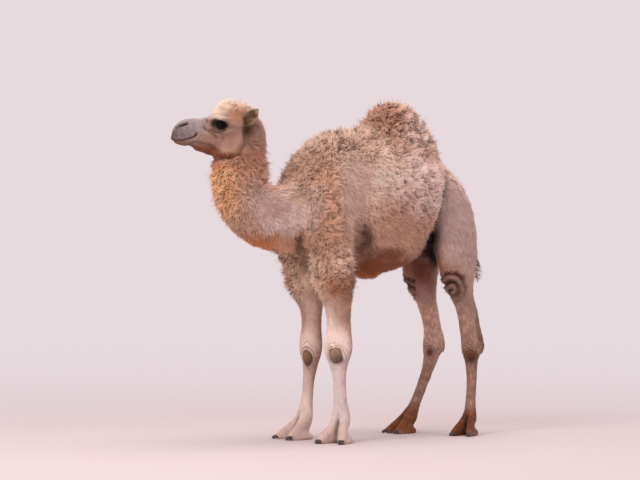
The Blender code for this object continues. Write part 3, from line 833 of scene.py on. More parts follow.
@dataclass(frozen=True)
class Pad:
    """A round callus on the front of a joint, or a whorl of hair, ringed with folds.

    Out to `radius` from its centre the skin rises by `rise`; beyond it the folds stand
    fold * cos(2 pi distance / spacing - twist * angle) high and die away over `fringe`.
    """

    centre: Triple
    facing: float                      # degrees from straight ahead, outward to the calf's left
    radius: float
    colour: Triple
    rise: float = 0.0032
    fold: float = 0.002
    spacing: float = 0.0085
    fringe: float = 0.015
    tall: float = 1.12
    twist: float = 0.0
    core: float = 1.0                  # how strongly the disc is coloured
    groove: float = 0.85               # how dark the painted shade is in the grooves between the folds
    edge: float = 0.34                 # how soft the disc's rim is, as a share of the radius

    def across_up(self, points: Array) -> tuple[Array, Array, Array]:
        """Distances across and up from the pad's axis, and whether the point is on its side of the joint.

        Args:
            points: places in the stance frame, N x 3.

        Returns:
            The three, a number or a truth for each place.
        """
        a = math.radians(self.facing)
        ahead = np.array((math.sin(a), -math.cos(a), 0.0))
        across = np.array((math.cos(a), math.sin(a), 0.0))
        gap = points - np.array(self.centre)
        reach = self.radius + self.fringe * 3 + 0.04
        near = (gap @ ahead > -0.028) & (np.linalg.norm(gap, axis=1) < reach)
        return gap @ across, gap[:, 2] / self.tall, near

    def polar(self, points: Array) -> tuple[Array, Array]:
        """Distance from the pad's axis, far away behind the joint, and the angle round it.

        Args:
            points: places in the stance frame, N x 3.

        Returns:
            The two, a number for each place.
        """
        over, up, near = self.across_up(points)
        wobble = 1 + 0.07 * waves(points, 0.05, 61)
        return np.where(near, np.hypot(over, up) * wobble, 1.0), np.arctan2(up, over)

    def disc(self, points: Array) -> Array:
        """1 on the pad, easing to 0 at its rim.

        Args:
            points: places in the stance frame, N x 3.

        Returns:
            A number for each place.
        """
        far, _ = self.polar(points)
        inner = self.radius * (1.0 - 0.6 * self.edge)
        return self.core * (1 - ease((far - inner) / (self.radius * self.edge)))

    def rings(self, points: Array) -> Array:
        """-1 in the grooves to 1 on the folds, dying away from the rim, more of them above the pad.

        Args:
            points: places in the stance frame, N x 3.

        Returns:
            A number for each place.
        """
        far, angle = self.polar(points)
        above = 0.65 + 0.35 * np.sin(angle - 0.4)
        fade = np.exp(-((np.maximum(far - self.radius, 0) / self.fringe) ** 2)) * (far > self.radius * 0.75)
        return np.cos(2 * np.pi * (far - self.radius) / self.spacing - self.twist * angle) * fade * above

    def height(self, points: Array) -> Array:
        """How far the skin moves out.

        Args:
            points: places in the stance frame, N x 3.

        Returns:
            A height for each place.
        """
        far, _ = self.polar(points)
        dimple = -0.35 * np.exp(-((far / (0.45 * self.radius)) ** 2)) * self.core
        return self.rise * (self.disc(points) + dimple) + self.fold * self.rings(points)

    def paint(self, points: Array, colour: Array) -> Array:
        """The colour with the pad's disc laid on, darker low down on it, and painted shade in its grooves.

        Args:
            points: places in the stance frame, N x 3.
            colour: the colour so far, N x 3.

        Returns:
            The new colour, N x 3.
        """
        over, up, _ = self.across_up(points)
        disc = self.disc(points)[:, None]
        low = ease(0.5 + (0.55 * over - up) / (1.8 * self.radius))[:, None]
        mottled = (1 + 0.1 * waves(points, 0.012, 62))[:, None]
        base = linear(self.colour) * (1.42 - 0.95 * low) * mottled
        colour = colour + (base - colour) * disc
        dark = np.clip(-self.rings(points), 0, 1)[:, None]
        return colour * (1 - self.groove * dark)


@dataclass(frozen=True)
class Whorl(Pad):
    """A swirl of hair: a dark heart, a pale turn and a dark turn round it, widest over the top.

    The turns are cos(2 pi distance / spacing - twist * angle), out to `radius`.
    """

    def turns(self, points: Array) -> tuple[Array, Array]:
        """1 on the dark turns to 0 on the pale ones, and how much the whorl counts there.

        Args:
            points: places in the stance frame, N x 3.

        Returns:
            The two, a number for each place.
        """
        far, angle = self.polar(points)
        dark = 0.5 + 0.5 * np.cos(2 * np.pi * far / self.spacing - self.twist * (angle - 1.0))
        top = 0.78 + 0.22 * np.sin(angle - 0.3)
        return dark, (1 - ease((far / top - 0.8 * self.radius) / (0.36 * self.radius))) * top

    def height(self, points: Array) -> Array:
        """How far the skin moves out."""
        dark, share = self.turns(points)
        return self.fold * (1 - dark) * share

    def paint(self, points: Array, colour: Array) -> Array:
        """The colour with the dark turns laid on.

        Args:
            points: places in the stance frame, N x 3.
            colour: the colour so far, N x 3.

        Returns:
            The new colour, N x 3.
        """
        dark, share = self.turns(points)
        base = linear(self.colour) * (1 + 0.15 * waves(points, 0.014, 63))[:, None]
        return colour + (base - colour) * np.clip(share * (0.3 + 0.74 * dark ** 0.9), 0, 0.97)[:, None]


CALLUSES = (
    Pad((0.1445, -0.033, 0.343), 31, 0.0315, (136, 108, 90), fringe=0.02, spacing=0.0105, fold=0.0026),
    Pad((-0.0985, 0.002, 0.328), 15, 0.027, (120, 88, 70), fringe=0.017, spacing=0.0105, tall=1.35,
        fold=0.0024),
    Pad((0.149, 0.664, 0.328), 50, 0.028, (88, 50, 35), fringe=0.024, spacing=0.01, edge=1.1, fold=0.0024),
    Pad((-0.096, 0.643, 0.341), 40, 0.018, (92, 62, 50), fringe=0.016, spacing=0.01, edge=1.2),
)
WHORLS = (
    Whorl((0.138, 0.575, 0.598), 48, 0.08, (60, 30, 18), fold=0.009, spacing=0.031, twist=1.0),
    Whorl((-0.138, 0.575, 0.598), -48, 0.08, (60, 30, 18), fold=0.009, spacing=0.031, twist=-1.0),
)
PADS = CALLUSES + WHORLS


# ---- how the coat grows

@dataclass(frozen=True)
class Growth:
    """How the coat grows in one patch."""

    patch: Patch
    depth: float      # from the skin to the outline of the coat
    length: float     # of a lock
    curl: float       # 0 straight to 1 woolly
    lift: float       # degrees from the skin
    girth: float      # half the width of a lock
    spacing: float    # from one lock to the next

    def numbers(self) -> Array:
        """The coat's numbers as a row."""
        return np.array((self.depth, self.length, self.curl, self.lift, self.girth, self.spacing))


EVERYWHERE = Patch((0, 0, 0), (9, 9, 9))


@dataclass(frozen=True)
class CoatMap:
    """How the coat grows all over, each patch laid over the one before it."""

    layers: tuple[Growth, ...] = (
        Growth(EVERYWHERE, 0.007, 0.015, 0.15, 14, 0.0013, 0.0062),
        Growth(body(0, 0.25, 0.98, 0.3, 0.47, 0.3), 0.016, 0.027, 0.6, 32, 0.0019, 0.0046),
        Growth(body(0, 0.38, 1.3, 0.25, 0.27, 0.18), 0.023, 0.036, 1.0, 46, 0.0021, 0.0044),
        Growth(body(0, 0.05, 1.22, 0.24, 0.18, 0.13), 0.022, 0.034, 0.95, 46, 0.0021, 0.0044),
        Growth(body(0.14, -0.1, 0.98, 0.1, 0.1, 0.2), 0.018, 0.032, 0.85, 38, 0.002, 0.0045),
        Growth(body(0.14, -0.06, 0.8, 0.1, 0.1, 0.12), 0.016, 0.031, 0.75, 34, 0.0019, 0.0046),
        Growth(body(0.2, 0.04, 1.0, 0.08, 0.06, 0.17), 0.013, 0.024, 0.15, 13, 0.0015, 0.005),
        Growth(body(0.21, 0.22, 0.8, 0.1, 0.22, 0.09), 0.012, 0.026, 0.3, 18, 0.0016, 0.005),
        Growth(body(0.21, 0.36, 1.0, 0.06, 0.12, 0.15), 0.016, 0.03, 0.8, 36, 0.002, 0.0046),
        Growth(body(0, 0.32, 0.69, 0.22, 0.3, 0.06), 0.009, 0.019, 0.2, 14, 0.0014, 0.006),
        Growth(body(0.12, 0.6, 1.06, 0.16, 0.14, 0.12), 0.013, 0.024, 0.5, 26, 0.0017, 0.0052),
        Growth(body(0.13, 0.64, 0.84, 0.14, 0.16, 0.16), 0.007, 0.015, 0.15, 13, 0.0013, 0.0062),
        Growth(body(-0.05, -0.34, 1.0, 0.17, 0.2, 0.24), 0.015, 0.028, 0.55, 26, 0.0017, 0.0047),
        Growth(body(-0.05, -0.48, 0.98, 0.14, 0.09, 0.22), 0.018, 0.042, 0.75, 38, 0.0017, 0.0046),
        Growth(body(-0.06, -0.24, 1.14, 0.11, 0.07, 0.12), 0.018, 0.046, 0.72, 54, 0.0016, 0.0045),
        Growth(body(0.08, -0.23, 0.92, 0.08, 0.13, 0.08), 0.012, 0.022, 0.12, 12, 0.0015, 0.0052),
        Growth(body(0.12, -0.02, 0.67, 0.12, 0.12, 0.1), 0.015, 0.034, 0.85, 36, 0.0019, 0.0047),
        Growth(body(-0.045, -0.01, 0.66, 0.035, 0.09, 0.1, mirrored=False),
               0.008, 0.016, 0.2, 14, 0.0011, 0.0046),
        Growth(body(0.12, 0.0, 0.24, 0.14, 0.22, 0.27), 0.0025, 0.009, 0.0, 7, 0.0006, 0.0072),
        Growth(body(0.12, 0.64, 0.3, 0.14, 0.28, 0.3), 0.003, 0.01, 0.0, 7, 0.0006, 0.007),
        Growth(body(0.145, 0.571, 0.606, 0.06, 0.06, 0.075), 0.008, 0.014, 0.45, 22, 0.0012, 0.0038),
        Growth(body(0.12, 0.3, 0.03, 0.18, 0.6, 0.06), 0.0015, 0.005, 0.0, 8, 0.0006, 0.007),
        Growth(body(0, 0.8, 0.76, 0.06, 0.08, 0.18), 0.009, 0.03, 0.2, 12, 0.0012, 0.0048),
        Growth(body(0, 0.815, 0.65, 0.05, 0.06, 0.07), 0.012, 0.04, 0.6, 30, 0.0012, 0.0028),
        Growth(face(0, 0.12, -0.05, 0.13, 0.2, 0.13, soft=0.25), 0.003, 0.0075, 0.0, 8, 0.00045, 0.0036),
        Growth(face(0, 0.022, 0.058, 0.1, 0.085, 0.056), 0.013, 0.028, 0.7, 54, 0.0012, 0.0036),
        Growth(face(0, 0.082, 0.066, 0.07, 0.036, 0.034), 0.006, 0.021, 0.75, 40, 0.0009, 0.003),
        Growth(face(0.05, -0.02, -0.07, 0.06, 0.035, 0.09), 0.01, 0.025, 0.5, 32, 0.0013, 0.0042),
        Growth(face(0, 0.11, -0.166, 0.06, 0.08, 0.022), 0.008, 0.024, 0.5, 26, 0.0013, 0.004),
        Growth(face(0, 0.25, -0.05, 0.07, 0.075, 0.09), 0.0012, 0.0035, 0.0, 8, 0.00045, 0.005),
    )

    def at(self, points: Array) -> Array:
        """depth, length, curl, lift, girth and spacing at each point, N x 6.

        Args:
            points: places in the stance frame, N x 3.

        Returns:
            The six numbers of each place.
        """
        numbers = np.tile(self.layers[0].numbers(), (len(points), 1))
        for layer in self.layers[1:]:
            numbers += (layer.numbers() - numbers) * layer.patch.weight(points)[:, None]
        return numbers


@dataclass(frozen=True)
class Flow:
    """The way the coat lies in one patch, as a direction or away from the patch's centre."""

    patch: Patch
    way: Triple
    spreads: bool = False


@dataclass(frozen=True)
class Lie:
    """The lie of the coat all over."""

    flows: tuple[Flow, ...] = (
        Flow(EVERYWHERE, (0, 0.25, -1)),
        Flow(body(0, 0.3, 0.95, 0.3, 0.48, 0.25), (0, 0.8, -0.6)),
        Flow(body(0, 0.385, 1.36, 0.26, 0.28, 0.22), (0, 0, -1), True),
        Flow(body(0, 0.05, 1.24, 0.26, 0.2, 0.14), (0, 0.5, -0.6)),
        Flow(body(-0.05, -0.3, 0.98, 0.2, 0.22, 0.26), (0, 0.2, -1)),
        Flow(body(0, -0.15, 0.9, 0.2, 0.16, 0.12), (0, 0.8, -0.6)),
        Flow(body(0.12, 0.0, 0.3, 0.16, 0.25, 0.4), (0, 0.1, -1)),
        Flow(body(0.12, 0.64, 0.4, 0.16, 0.3, 0.5), (0, 0.15, -1)),
        Flow(face(0, 0.14, -0.03, 0.14, 0.24, 0.15), (0.25, 0.95, -0.35)),
        Flow(face(0, 0.015, 0.02, 0.12, 0.09, 0.1), (0.15, 0.5, 0.5)),
        Flow(face(0, 0.11, -0.165, 0.08, 0.09, 0.035), (0.0, -0.75, -0.7)),
    )

    def at(self, points: Array, normals: Array) -> Array:
        """Unit directions along the skin: the mixed flow less its part along the normal.

        Args:
            points: places in the stance frame, N x 3.
            normals: the skin's normals there, N x 3.

        Returns:
            The directions, N x 3.
        """
        way = np.zeros_like(points)
        for flow in self.flows:
            share = flow.patch.weight(points)[:, None]
            local = np.tile(unit(np.array(flow.way)), (len(points), 1))
            if flow.spreads:
                local = unit(points - np.array(flow.patch.centre) + np.array((0, 0, -0.06)))
            way = way * (1 - share) + local * share
        for whorl in WHORLS:
            far, angle = whorl.polar(points)
            a = math.radians(whorl.facing)
            across = np.array((math.cos(a), math.sin(a), 0.0))
            spin = -np.sin(angle)[:, None] * across + np.cos(angle)[:, None] * np.array((0, 0, 1.0))
            spin = spin * whorl.twist
            near = (1 - ease((far - 0.05) / 0.02))[:, None]
            way = way * (1 - near) + spin * near
        swirl = np.stack([waves(points, 0.1, seed) for seed in (31, 32, 33)], axis=1)
        way = way + 0.28 * swirl
        return unit(along_skin(way, normals))


MARKINGS = Markings()
COAT_MAP = CoatMap()
LIE = Lie()


# ---- the unwrap of the skin

@dataclass(frozen=True)
class Unwrap:
    """The skin unrolled: trunk, neck, head, legs and tail each opened out round its own middle.

    Along a part is one direction of the map and the angle round its middle is the other.
    """

    def at(self, points: Array) -> Array:
        """N x 2 places on the map, from 0 to 1.

        Args:
            points: places in the stance frame, N x 3.

        Returns:
            The places on the map.
        """
        x, y, z = points.T
        uv = np.column_stack([0.02 + 0.58 * np.clip((y + 0.22) / 1.0, 0, 1),
                              0.5 + 0.48 * np.arctan2(x, z - 0.94) / np.pi])
        neck = (y < -0.06) & (z > 0.6)
        axis = np.clip((z - 0.88) / 0.35, 0, 1)
        middle = -0.352 + 0.06 * axis**2
        low = z < 0.98
        around = np.where(low, np.arctan2(x + 0.03, z - 0.885), np.arctan2(x + 0.05, -(y - middle)))
        along = 0.5 * np.where(low, np.clip((-0.06 - y) / 0.5, 0, 1), 1 + np.clip((z - 0.98) / 0.3, 0, 1))
        uv[neck] = np.column_stack([0.62 + 0.16 * along, 0.26 + 0.23 * around / np.pi])[neck]
        local = HEAD.local(points)
        head = (local[:, 1] > -0.035) & (local[:, 2] > -0.158)
        turn = np.arctan2(local[:, 0], local[:, 2] + 0.035)
        uv[head] = np.column_stack([0.8 + 0.18 * np.clip((local[:, 1] + 0.04) / 0.34, 0, 1),
                                    0.26 + 0.23 * turn / np.pi])[head]
        for number, leg in enumerate(LEGS):
            lies = (z < 0.64) & (np.sign(x) == leg.side.value) & ((y < 0.35) == leg.fore)
            hip = 0.0 if leg.fore else HIND_LINE
            middle = hip + (leg.foot - hip) * np.clip(1 - z / 0.35, 0, 1)
            turn = np.arctan2(x - leg.x, -(y - middle))
            uv[lies] = np.column_stack([0.63 + 0.09 * number + 0.037 + 0.036 * turn / np.pi,
                                        0.52 + 0.46 * np.clip(z / 0.64, 0, 1)])[lies]
        tail = (y > 0.745) & (np.abs(x) < 0.06) & (z > 0.5)
        turn = np.arctan2(x, y - 0.8)
        strip = np.column_stack([0.8 + 0.16 * np.clip((z - 0.5) / 0.5, 0, 1), 0.01 + 0.009 * turn / np.pi])
        uv[tail] = strip[tail]
        return uv


UNWRAP = Unwrap()


# ---- finishes

@dataclass
class Recipe:
    """A material under way, with short ways to add nodes to it."""

    name: str
    material: Material = field(init=False)
    tree: NodeTree = field(init=False)
    shader: Node = field(init=False)

    def __post_init__(self) -> None:
        """Starts the material."""
        self.material = bpy.data.materials.new(self.name)
        self.material.use_nodes = True
        self.tree = self.material.node_tree
        self.shader = self.tree.nodes["Principled BSDF"]

    def feed(self, node: Node, inputs: Inputs) -> None:
        """Gives each named input of a node a plain value, or another node's output.

        Args:
            node: the node.
            inputs: what each input gets.
        """
        for name, value in inputs.items():
            if isinstance(value, NodeSocket):
                self.tree.links.new(value, node.inputs[name])
            else:
                node.inputs[name].default_value = value

    def add(self, kind: str, inputs: Inputs, output: str | int = 0, **settings: str) -> NodeSocket:
        """Adds a node.

        Args:
            kind: the node's type, less "ShaderNode".
            inputs: what each input gets.
            output: which output is handed back.
            **settings: the node's own settings.

        Returns:
            The output.
        """
        node = self.tree.nodes.new("ShaderNode" + kind)
        for name, value in settings.items():
            setattr(node, name, value)
        self.feed(node, inputs)
        return node.outputs[output]

    def place(self) -> NodeSocket:
        """Object coordinates."""
        return self.add("TexCoord", {}, "Object")

    def attribute(self, name: str, output: str) -> NodeSocket:
        """A named attribute of the mesh."""
        return self.add("Attribute", {}, output, attribute_name=name)

    def noise(self, vector: NodeSocket, scale: float | Triple, detail: float) -> NodeSocket:
        """Noise at the given coordinates, at one scale or at one along each axis.

        Args:
            vector: the coordinates.
            scale: how many waves to the metre.
            detail: how many finer noises are laid on it.

        Returns:
            The noise's value.
        """
        if isinstance(scale, tuple):
            vector, scale = self.add("Mapping", {"Vector": vector, "Scale": scale}), 1.0
        return self.add("TexNoise", {"Vector": vector, "Scale": scale, "Detail": detail}, "Fac")

    def spread(self, value: NodeSocket, low: float, high: float) -> NodeSocket:
        """0.3 to 0.7 of a pattern spread over low to high."""
        ends = {"From Min": 0.3, "From Max": 0.7, "To Min": low, "To Max": high}
        return self.add("MapRange", {"Value": value} | ends)

    def times(self, colour: NodeSocket, factor: NodeSocket) -> NodeSocket:
        """A colour times a number."""
        return self.add("VectorMath", {0: colour, "Scale": factor}, operation="SCALE")

    def bump(self, height: NodeSocket, strength: float, distance: float,
             under: NodeSocket | None = None) -> NodeSocket:
        """A bump's normal, over another bump where one is given."""
        inputs = {"Strength": strength, "Distance": distance, "Height": height}
        return self.add("Bump", inputs if under is None else inputs | {"Normal": under})

    def ramp(self, value: NodeSocket, stops: tuple[tuple[float, Triple], ...]) -> NodeSocket:
        """A ramp of two or more colours.

        Args:
            value: what picks the colour.
            stops: each colour's place and its screen colour.

        Returns:
            The colour.
        """
        colour = self.add("ValToRGB", {"Fac": value}, "Color")
        marks = colour.node.color_ramp.elements
        while len(marks) < len(stops):
            marks.new(0.5)
        for mark, (spot, tone) in zip(marks, stops):
            mark.position, mark.color = spot, (*linear(tone), 1.0)
        return colour


@dataclass(frozen=True)
class WoolFinish:
    """Locks of hair: matt, with a soft sheen and fine strands."""

    name: str = "wool"
    roughness: float = 0.9
    sheen: float = 0.16

    def build(self) -> Material:
        """Shades the locks' own colour with fine noise, and roughens them with it.

        Returns:
            The material.
        """
        mix = Recipe(self.name)
        fine = mix.noise(mix.place(), 420.0, 3.0)
        mix.feed(mix.shader, {
            "Base Color": mix.times(mix.attribute("Coat", "Color"), mix.spread(fine, 0.9, 1.1)),
            "Normal": mix.bump(fine, 0.35, 0.0008), "Roughness": self.roughness, "Specular IOR Level": 0.18,
            "Sheen Weight": self.sheen, "Sheen Roughness": 0.55})
        return mix.material


@dataclass(frozen=True)
class HideFinish:
    """Skin with its short flat hair: streaks along the lie, tufts and faint wrinkles."""

    name: str = "hide"
    roughness: float = 0.82
    sheen: float = 0.08

    def build(self) -> Material:
        """Shades the skin's own colour with tufts and hairs, and lays them over its folds.

        Returns:
            The material.
        """
        mix = Recipe(self.name)
        grain = mix.attribute("Grain", "Vector")
        hairs = mix.noise(grain, (90.0, 1100.0, 1.0), 3.0)
        tufts = mix.noise(grain, (45.0, 260.0, 1.0), 3.0)
        folds = mix.noise(mix.place(), 85.0, 4.0)
        tufted = mix.times(mix.attribute("Coat", "Color"), mix.spread(tufts, 0.86, 1.1))
        relief = mix.bump(tufts, 0.45, 0.0012, mix.bump(folds, 0.35, 0.0016))
        mix.feed(mix.shader, {
            "Base Color": mix.times(tufted, mix.spread(hairs, 0.92, 1.08)),
            "Normal": mix.bump(hairs, 0.45, 0.0007, relief), "Roughness": self.roughness,
            "Specular IOR Level": 0.22, "Sheen Weight": self.sheen, "Sheen Roughness": 0.5})
        return mix.material


@dataclass(frozen=True)
class EyeFinish:
    """A wet, nearly black brown eye with a long level pupil."""

    name: str = "eye"
    stops: tuple[tuple[float, Triple], ...] = (  # from the pupil's middle to the white
        (0.0, (2, 2, 2)), (0.34, (3, 2, 2)), (0.42, (12, 7, 5)), (0.7, (15, 9, 6)), (0.8, (5, 4, 4)),
        (1.0, (14, 10, 9)))

    def build(self) -> Material:
        """Colours the ball by how far each point is from the pupil, with faint spokes.

        Returns:
            The material.
        """
        mix = Recipe(self.name)
        spokes = mix.spread(mix.noise(mix.place(), 900.0, 2.0), 0.7, 1.3)
        mix.feed(mix.shader, {
            "Base Color": mix.times(mix.ramp(mix.attribute("Iris", "Fac"), self.stops), spokes),
            "Roughness": 0.06, "IOR": 1.36, "Specular IOR Level": 0.16})
        return mix.material


@dataclass(frozen=True)
class HornFinish:
    """Dark toenail horn, streaked dark and pale along its length."""

    name: str = "horn"
    dark: Triple = (34, 28, 26)
    pale: Triple = (86, 74, 66)

    def build(self) -> Material:
        """Streaks the nails from dark to pale.

        Returns:
            The material.
        """
        mix = Recipe(self.name)
        streaks = mix.noise(mix.place(), (700.0, 90.0, 300.0), 4.0)
        mix.feed(mix.shader, {"Base Color": mix.ramp(streaks, ((0.3, self.dark), (0.75, self.pale))),
                              "Normal": mix.bump(streaks, 0.4, 0.0008), "Roughness": 0.62})
        return mix.material


@dataclass(frozen=True)
class FloorFinish:
    """One matt colour that gives way to the air's own light far from the animal.

    The share of the air goes by one over the distance from the middle, from near to far.
    """

    name: str
    colour: Triple
    air: Triple
    air_strength: float
    near: float = 1.3
    far: float = 40.0

    def build(self) -> Material:
        """Mixes the floor's colour with a glow by the distance from the middle.

        Returns:
            The material.
        """
        mix = Recipe(self.name)
        mix.feed(mix.shader, {
            "Base Color": (*linear(self.colour), 1.0), "Roughness": 0.9, "Specular IOR Level": 0.1})
        away = mix.add("VectorMath", {0: mix.place()}, "Value", operation="LENGTH")
        nearness = mix.add("Math", {0: 1.0, 1: away}, operation="DIVIDE")
        ends = {"From Min": 1.0 / self.near, "From Max": 1.0 / self.far}
        share = mix.add("MapRange", {"Value": nearness} | ends, interpolation_type="SMOOTHSTEP")
        glow = mix.add("Emission", {"Color": (*linear(self.air), 1.0), "Strength": self.air_strength})
        both = mix.add("MixShader", {0: share, 1: mix.shader.outputs[0], 2: glow})
        mix.feed(mix.tree.nodes["Material Output"], {"Surface": both})
        return mix.material


# ---- pieces

def add_piece(name: str, mesh: Mesh, material: Material) -> Object:
    """Makes an object of a mesh that is still in the stance frame, at the frame's own origin.

    Args:
        name: the piece's name.
        mesh: its mesh.
        material: its one material.

    Returns:
        The piece.
    """
    move_points(mesh, mesh_points(mesh) + STANCE_SHIFT)
    mesh.materials.clear()
    mesh.materials.append(material)
    piece = bpy.data.objects.new(name, mesh)
    bpy.context.scene.collection.objects.link(piece)
    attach(piece, "root")
    return piece


def report(piece: Object) -> None:
    """Says how large a piece is."""
    corners = len(piece.data.loops)
    LOG.info("%s: %d triangles", piece.name, corners - 2 * len(piece.data.polygons))


def write_colour(mesh: Mesh, name: str, colours: Array) -> None:
    """Writes a colour attribute of the points.

    Args:
        mesh: the mesh.
        name: the attribute's name.
        colours: linear colours, N x 3.
    """
    layer = mesh.color_attributes.new(name, "FLOAT_COLOR", "POINT")
    opaque = np.column_stack([colours, np.ones(len(colours))])
    layer.data.foreach_set("color", opaque.astype(np.float32).ravel())


def write_vector(mesh: Mesh, name: str, vectors: Array) -> None:
    """Writes an N x 3 array as a vector attribute of the points."""
    layer = mesh.attributes.new(name, "FLOAT_VECTOR", "POINT")
    layer.data.foreach_set("vector", vectors.astype(np.float32).ravel())


def write_uv(mesh: Mesh, name: str, uv: Array) -> None:
    """Writes an N x 2 array of the points as a UV map."""
    corners = read(mesh.loops, "vertex_index", 1, np.int32)[:, 0]
    mesh.uv_layers.new(name=name).data.foreach_set("uv", uv[corners].astype(np.float32).ravel())


def read(items: bpy.types.bpy_prop_collection, name: str, wide: int, kind: type = np.float32) -> Array:
    """Reads one number or vector from each of a mesh's items.

    Args:
        items: the mesh's points, corners, edges or triangles.
        name: what is read.
        wide: how many numbers it has.
        kind: of number that Blender keeps.

    Returns:
        N x wide numbers, whole ones as they are and others at double length.
    """
    out = np.empty(len(items) * wide, kind)
    items.foreach_get(name, out)
    return out.reshape(-1, wide).astype(float if kind is np.float32 else kind)


def mesh_points(mesh: Mesh) -> Array:
    """Points of a mesh, N x 3."""
    return read(mesh.vertices, "co", 3)


def mesh_normals(mesh: Mesh) -> Array:
    """Normals at the points of a mesh, N x 3."""
    return read(mesh.vertex_normals, "vector", 3)


def move_points(mesh: Mesh, points: Array) -> None:
    """Puts the points of a mesh in new places."""
    mesh.vertices.foreach_set("co", points.astype(np.float32).ravel())
    mesh.update()


def mesh_edges(mesh: Mesh) -> Array:
    """Edges of a mesh as pairs of points, E x 2."""
    return read(mesh.edges, "vertices", 2, np.int32)


def relax(points: Array, edges: Array, share: Array, rounds: int) -> Array:
    """Moves each point its share of the way to the mean of its neighbours, over and over.

    Every second round moves back by 0.55 of as much, so that the shape doesn't shrink much.

    Args:
        points: N x 3.
        edges: the pairs of points that are neighbours, E x 2.
        share: how far each point goes, from 0 to 1.
        rounds: how many times.

    Returns:
        The points, moved.
    """
    count = np.bincount(edges.ravel(), minlength=len(points))[:, None]
    for step in range(rounds):
        total = np.stack([np.bincount(edges[:, 0], points[edges[:, 1], k], len(points))
                          + np.bincount(edges[:, 1], points[edges[:, 0], k], len(points))
                          for k in range(3)], axis=1)
        sign = 1.0 if step % 2 == 0 else -0.55
        points = points + (total / np.maximum(count, 1) - points) * (share[:, None] * sign)
    return points


# ---- the flesh

@dataclass(frozen=True)
class Torso:
    """Barrel, hump and breastbone."""

    barrel: Rows = (  # behind the fore feet, bottom, top, half width, pear
        (-0.195, 0.8, 0.92, 0.05, 0.0), (-0.155, 0.755, 0.975, 0.095, 0.1),
        (-0.085, 0.715, 1.065, 0.138, 0.28), (0.0, 0.69, 1.165, 0.165, 0.36),
        (0.08, 0.675, 1.238, 0.182, 0.36), (0.15, 0.665, 1.262, 0.196, 0.32),
        (0.24, 0.655, 1.25, 0.212, 0.26), (0.34, 0.67, 1.235, 0.22, 0.18),
        (0.44, 0.735, 1.212, 0.204, 0.12), (0.53, 0.812, 1.166, 0.172, 0.14),
        (0.62, 0.85, 1.088, 0.142, 0.24), (0.682, 0.87, 1.02, 0.112, 0.24),
        (0.732, 0.9, 0.96, 0.07, 0.0),
    )
    hump: Rows = (
        (0, 0.385, 1.06, 0.155, 0.235), (0, 0.382, 1.18, 0.137, 0.202), (0, 0.372, 1.265, 0.112, 0.162),
        (0, 0.37, 1.335, 0.078, 0.11), (0, 0.37, 1.372, 0.042, 0.064),
    )
    breastbone: Rows = (
        (0, 0.235, 0.78, 0.085, 0.105), (0, 0.235, 0.7, 0.066, 0.082), (0, 0.235, 0.655, 0.046, 0.062),
        (0, 0.235, 0.645, 0.03, 0.045),
    )

    def tubes(self) -> list[Surface]:
        """The three lofts.

        Returns:
            Barrel, hump and breastbone.
        """
        barrel = tuple((0, y, (low + top) / 2, half, (top - low) / 2, pear)
                       for y, low, top, half, pear in self.barrel)
        return [swept_tube(barrel), swept_tube(self.hump), swept_tube(self.breastbone)]


@dataclass(frozen=True)
class NeckAndHead:
    """The deep U of the neck, and the skull with its brow and cheek."""

    neck: Rows = (
        (0.0, 0.01, 0.915, 0.12, 0.16), (-0.004, -0.115, 0.88, 0.112, 0.145),
        (-0.015, -0.22, 0.876, 0.102, 0.134), (-0.032, -0.31, 0.908, 0.098, 0.124),
        (-0.046, -0.352, 0.978, 0.094, 0.117), (-0.054, -0.354, 1.062, 0.09, 0.119),
        (-0.06, -0.338, 1.13, 0.08, 0.108), (-0.062, -0.297, 1.19, 0.067, 0.084),
        (-0.061, -0.286, 1.236, 0.053, 0.06), (-0.06, -0.3, 1.268, 0.038, 0.04),
    )
    skull: Rows = (  # ahead of the poll, bottom, top, half width, pear
        (-0.032, -0.085, 0.004, 0.046, 0.0), (-0.006, -0.11, 0.058, 0.066, 0.0),
        (0.03, -0.14, 0.086, 0.08, 0.0), (0.07, -0.152, 0.071, 0.08, 0.05),
        (0.105, -0.149, 0.038, 0.07, 0.1), (0.14, -0.142, 0.02, 0.056, 0.18),
        (0.175, -0.128, 0.014, 0.045, 0.16), (0.21, -0.11, 0.013, 0.04, 0.05),
        (0.24, -0.108, 0.006, 0.041, 0.0), (0.262, -0.107, -0.012, 0.038, 0.0),
        (0.279, -0.1, -0.036, 0.031, 0.0), (0.293, -0.087, -0.06, 0.018, 0.0),
    )
    orbit: Rows = (  # sideways, ahead, up
        (0.05, 0.07, -0.01, 0.02, 0.026), (0.056, 0.1, -0.009, 0.021, 0.03),
        (0.05, 0.13, -0.014, 0.018, 0.024),
    )

    def tubes(self) -> list[Surface]:
        """The lofts of the neck, the skull and the two orbits.

        Returns:
            The lofts.
        """
        skull = tuple((0, s, (low + top) / 2, half, (top - low) / 2, pear)
                      for s, low, top, half, pear in self.skull)
        return [swept_tube(self.neck), swept_tube(skull, place=HEAD.place(), sides=40, steps=8),
                *(swept_tube(self.orbit, place=HEAD.place(side)) for side in Side)]


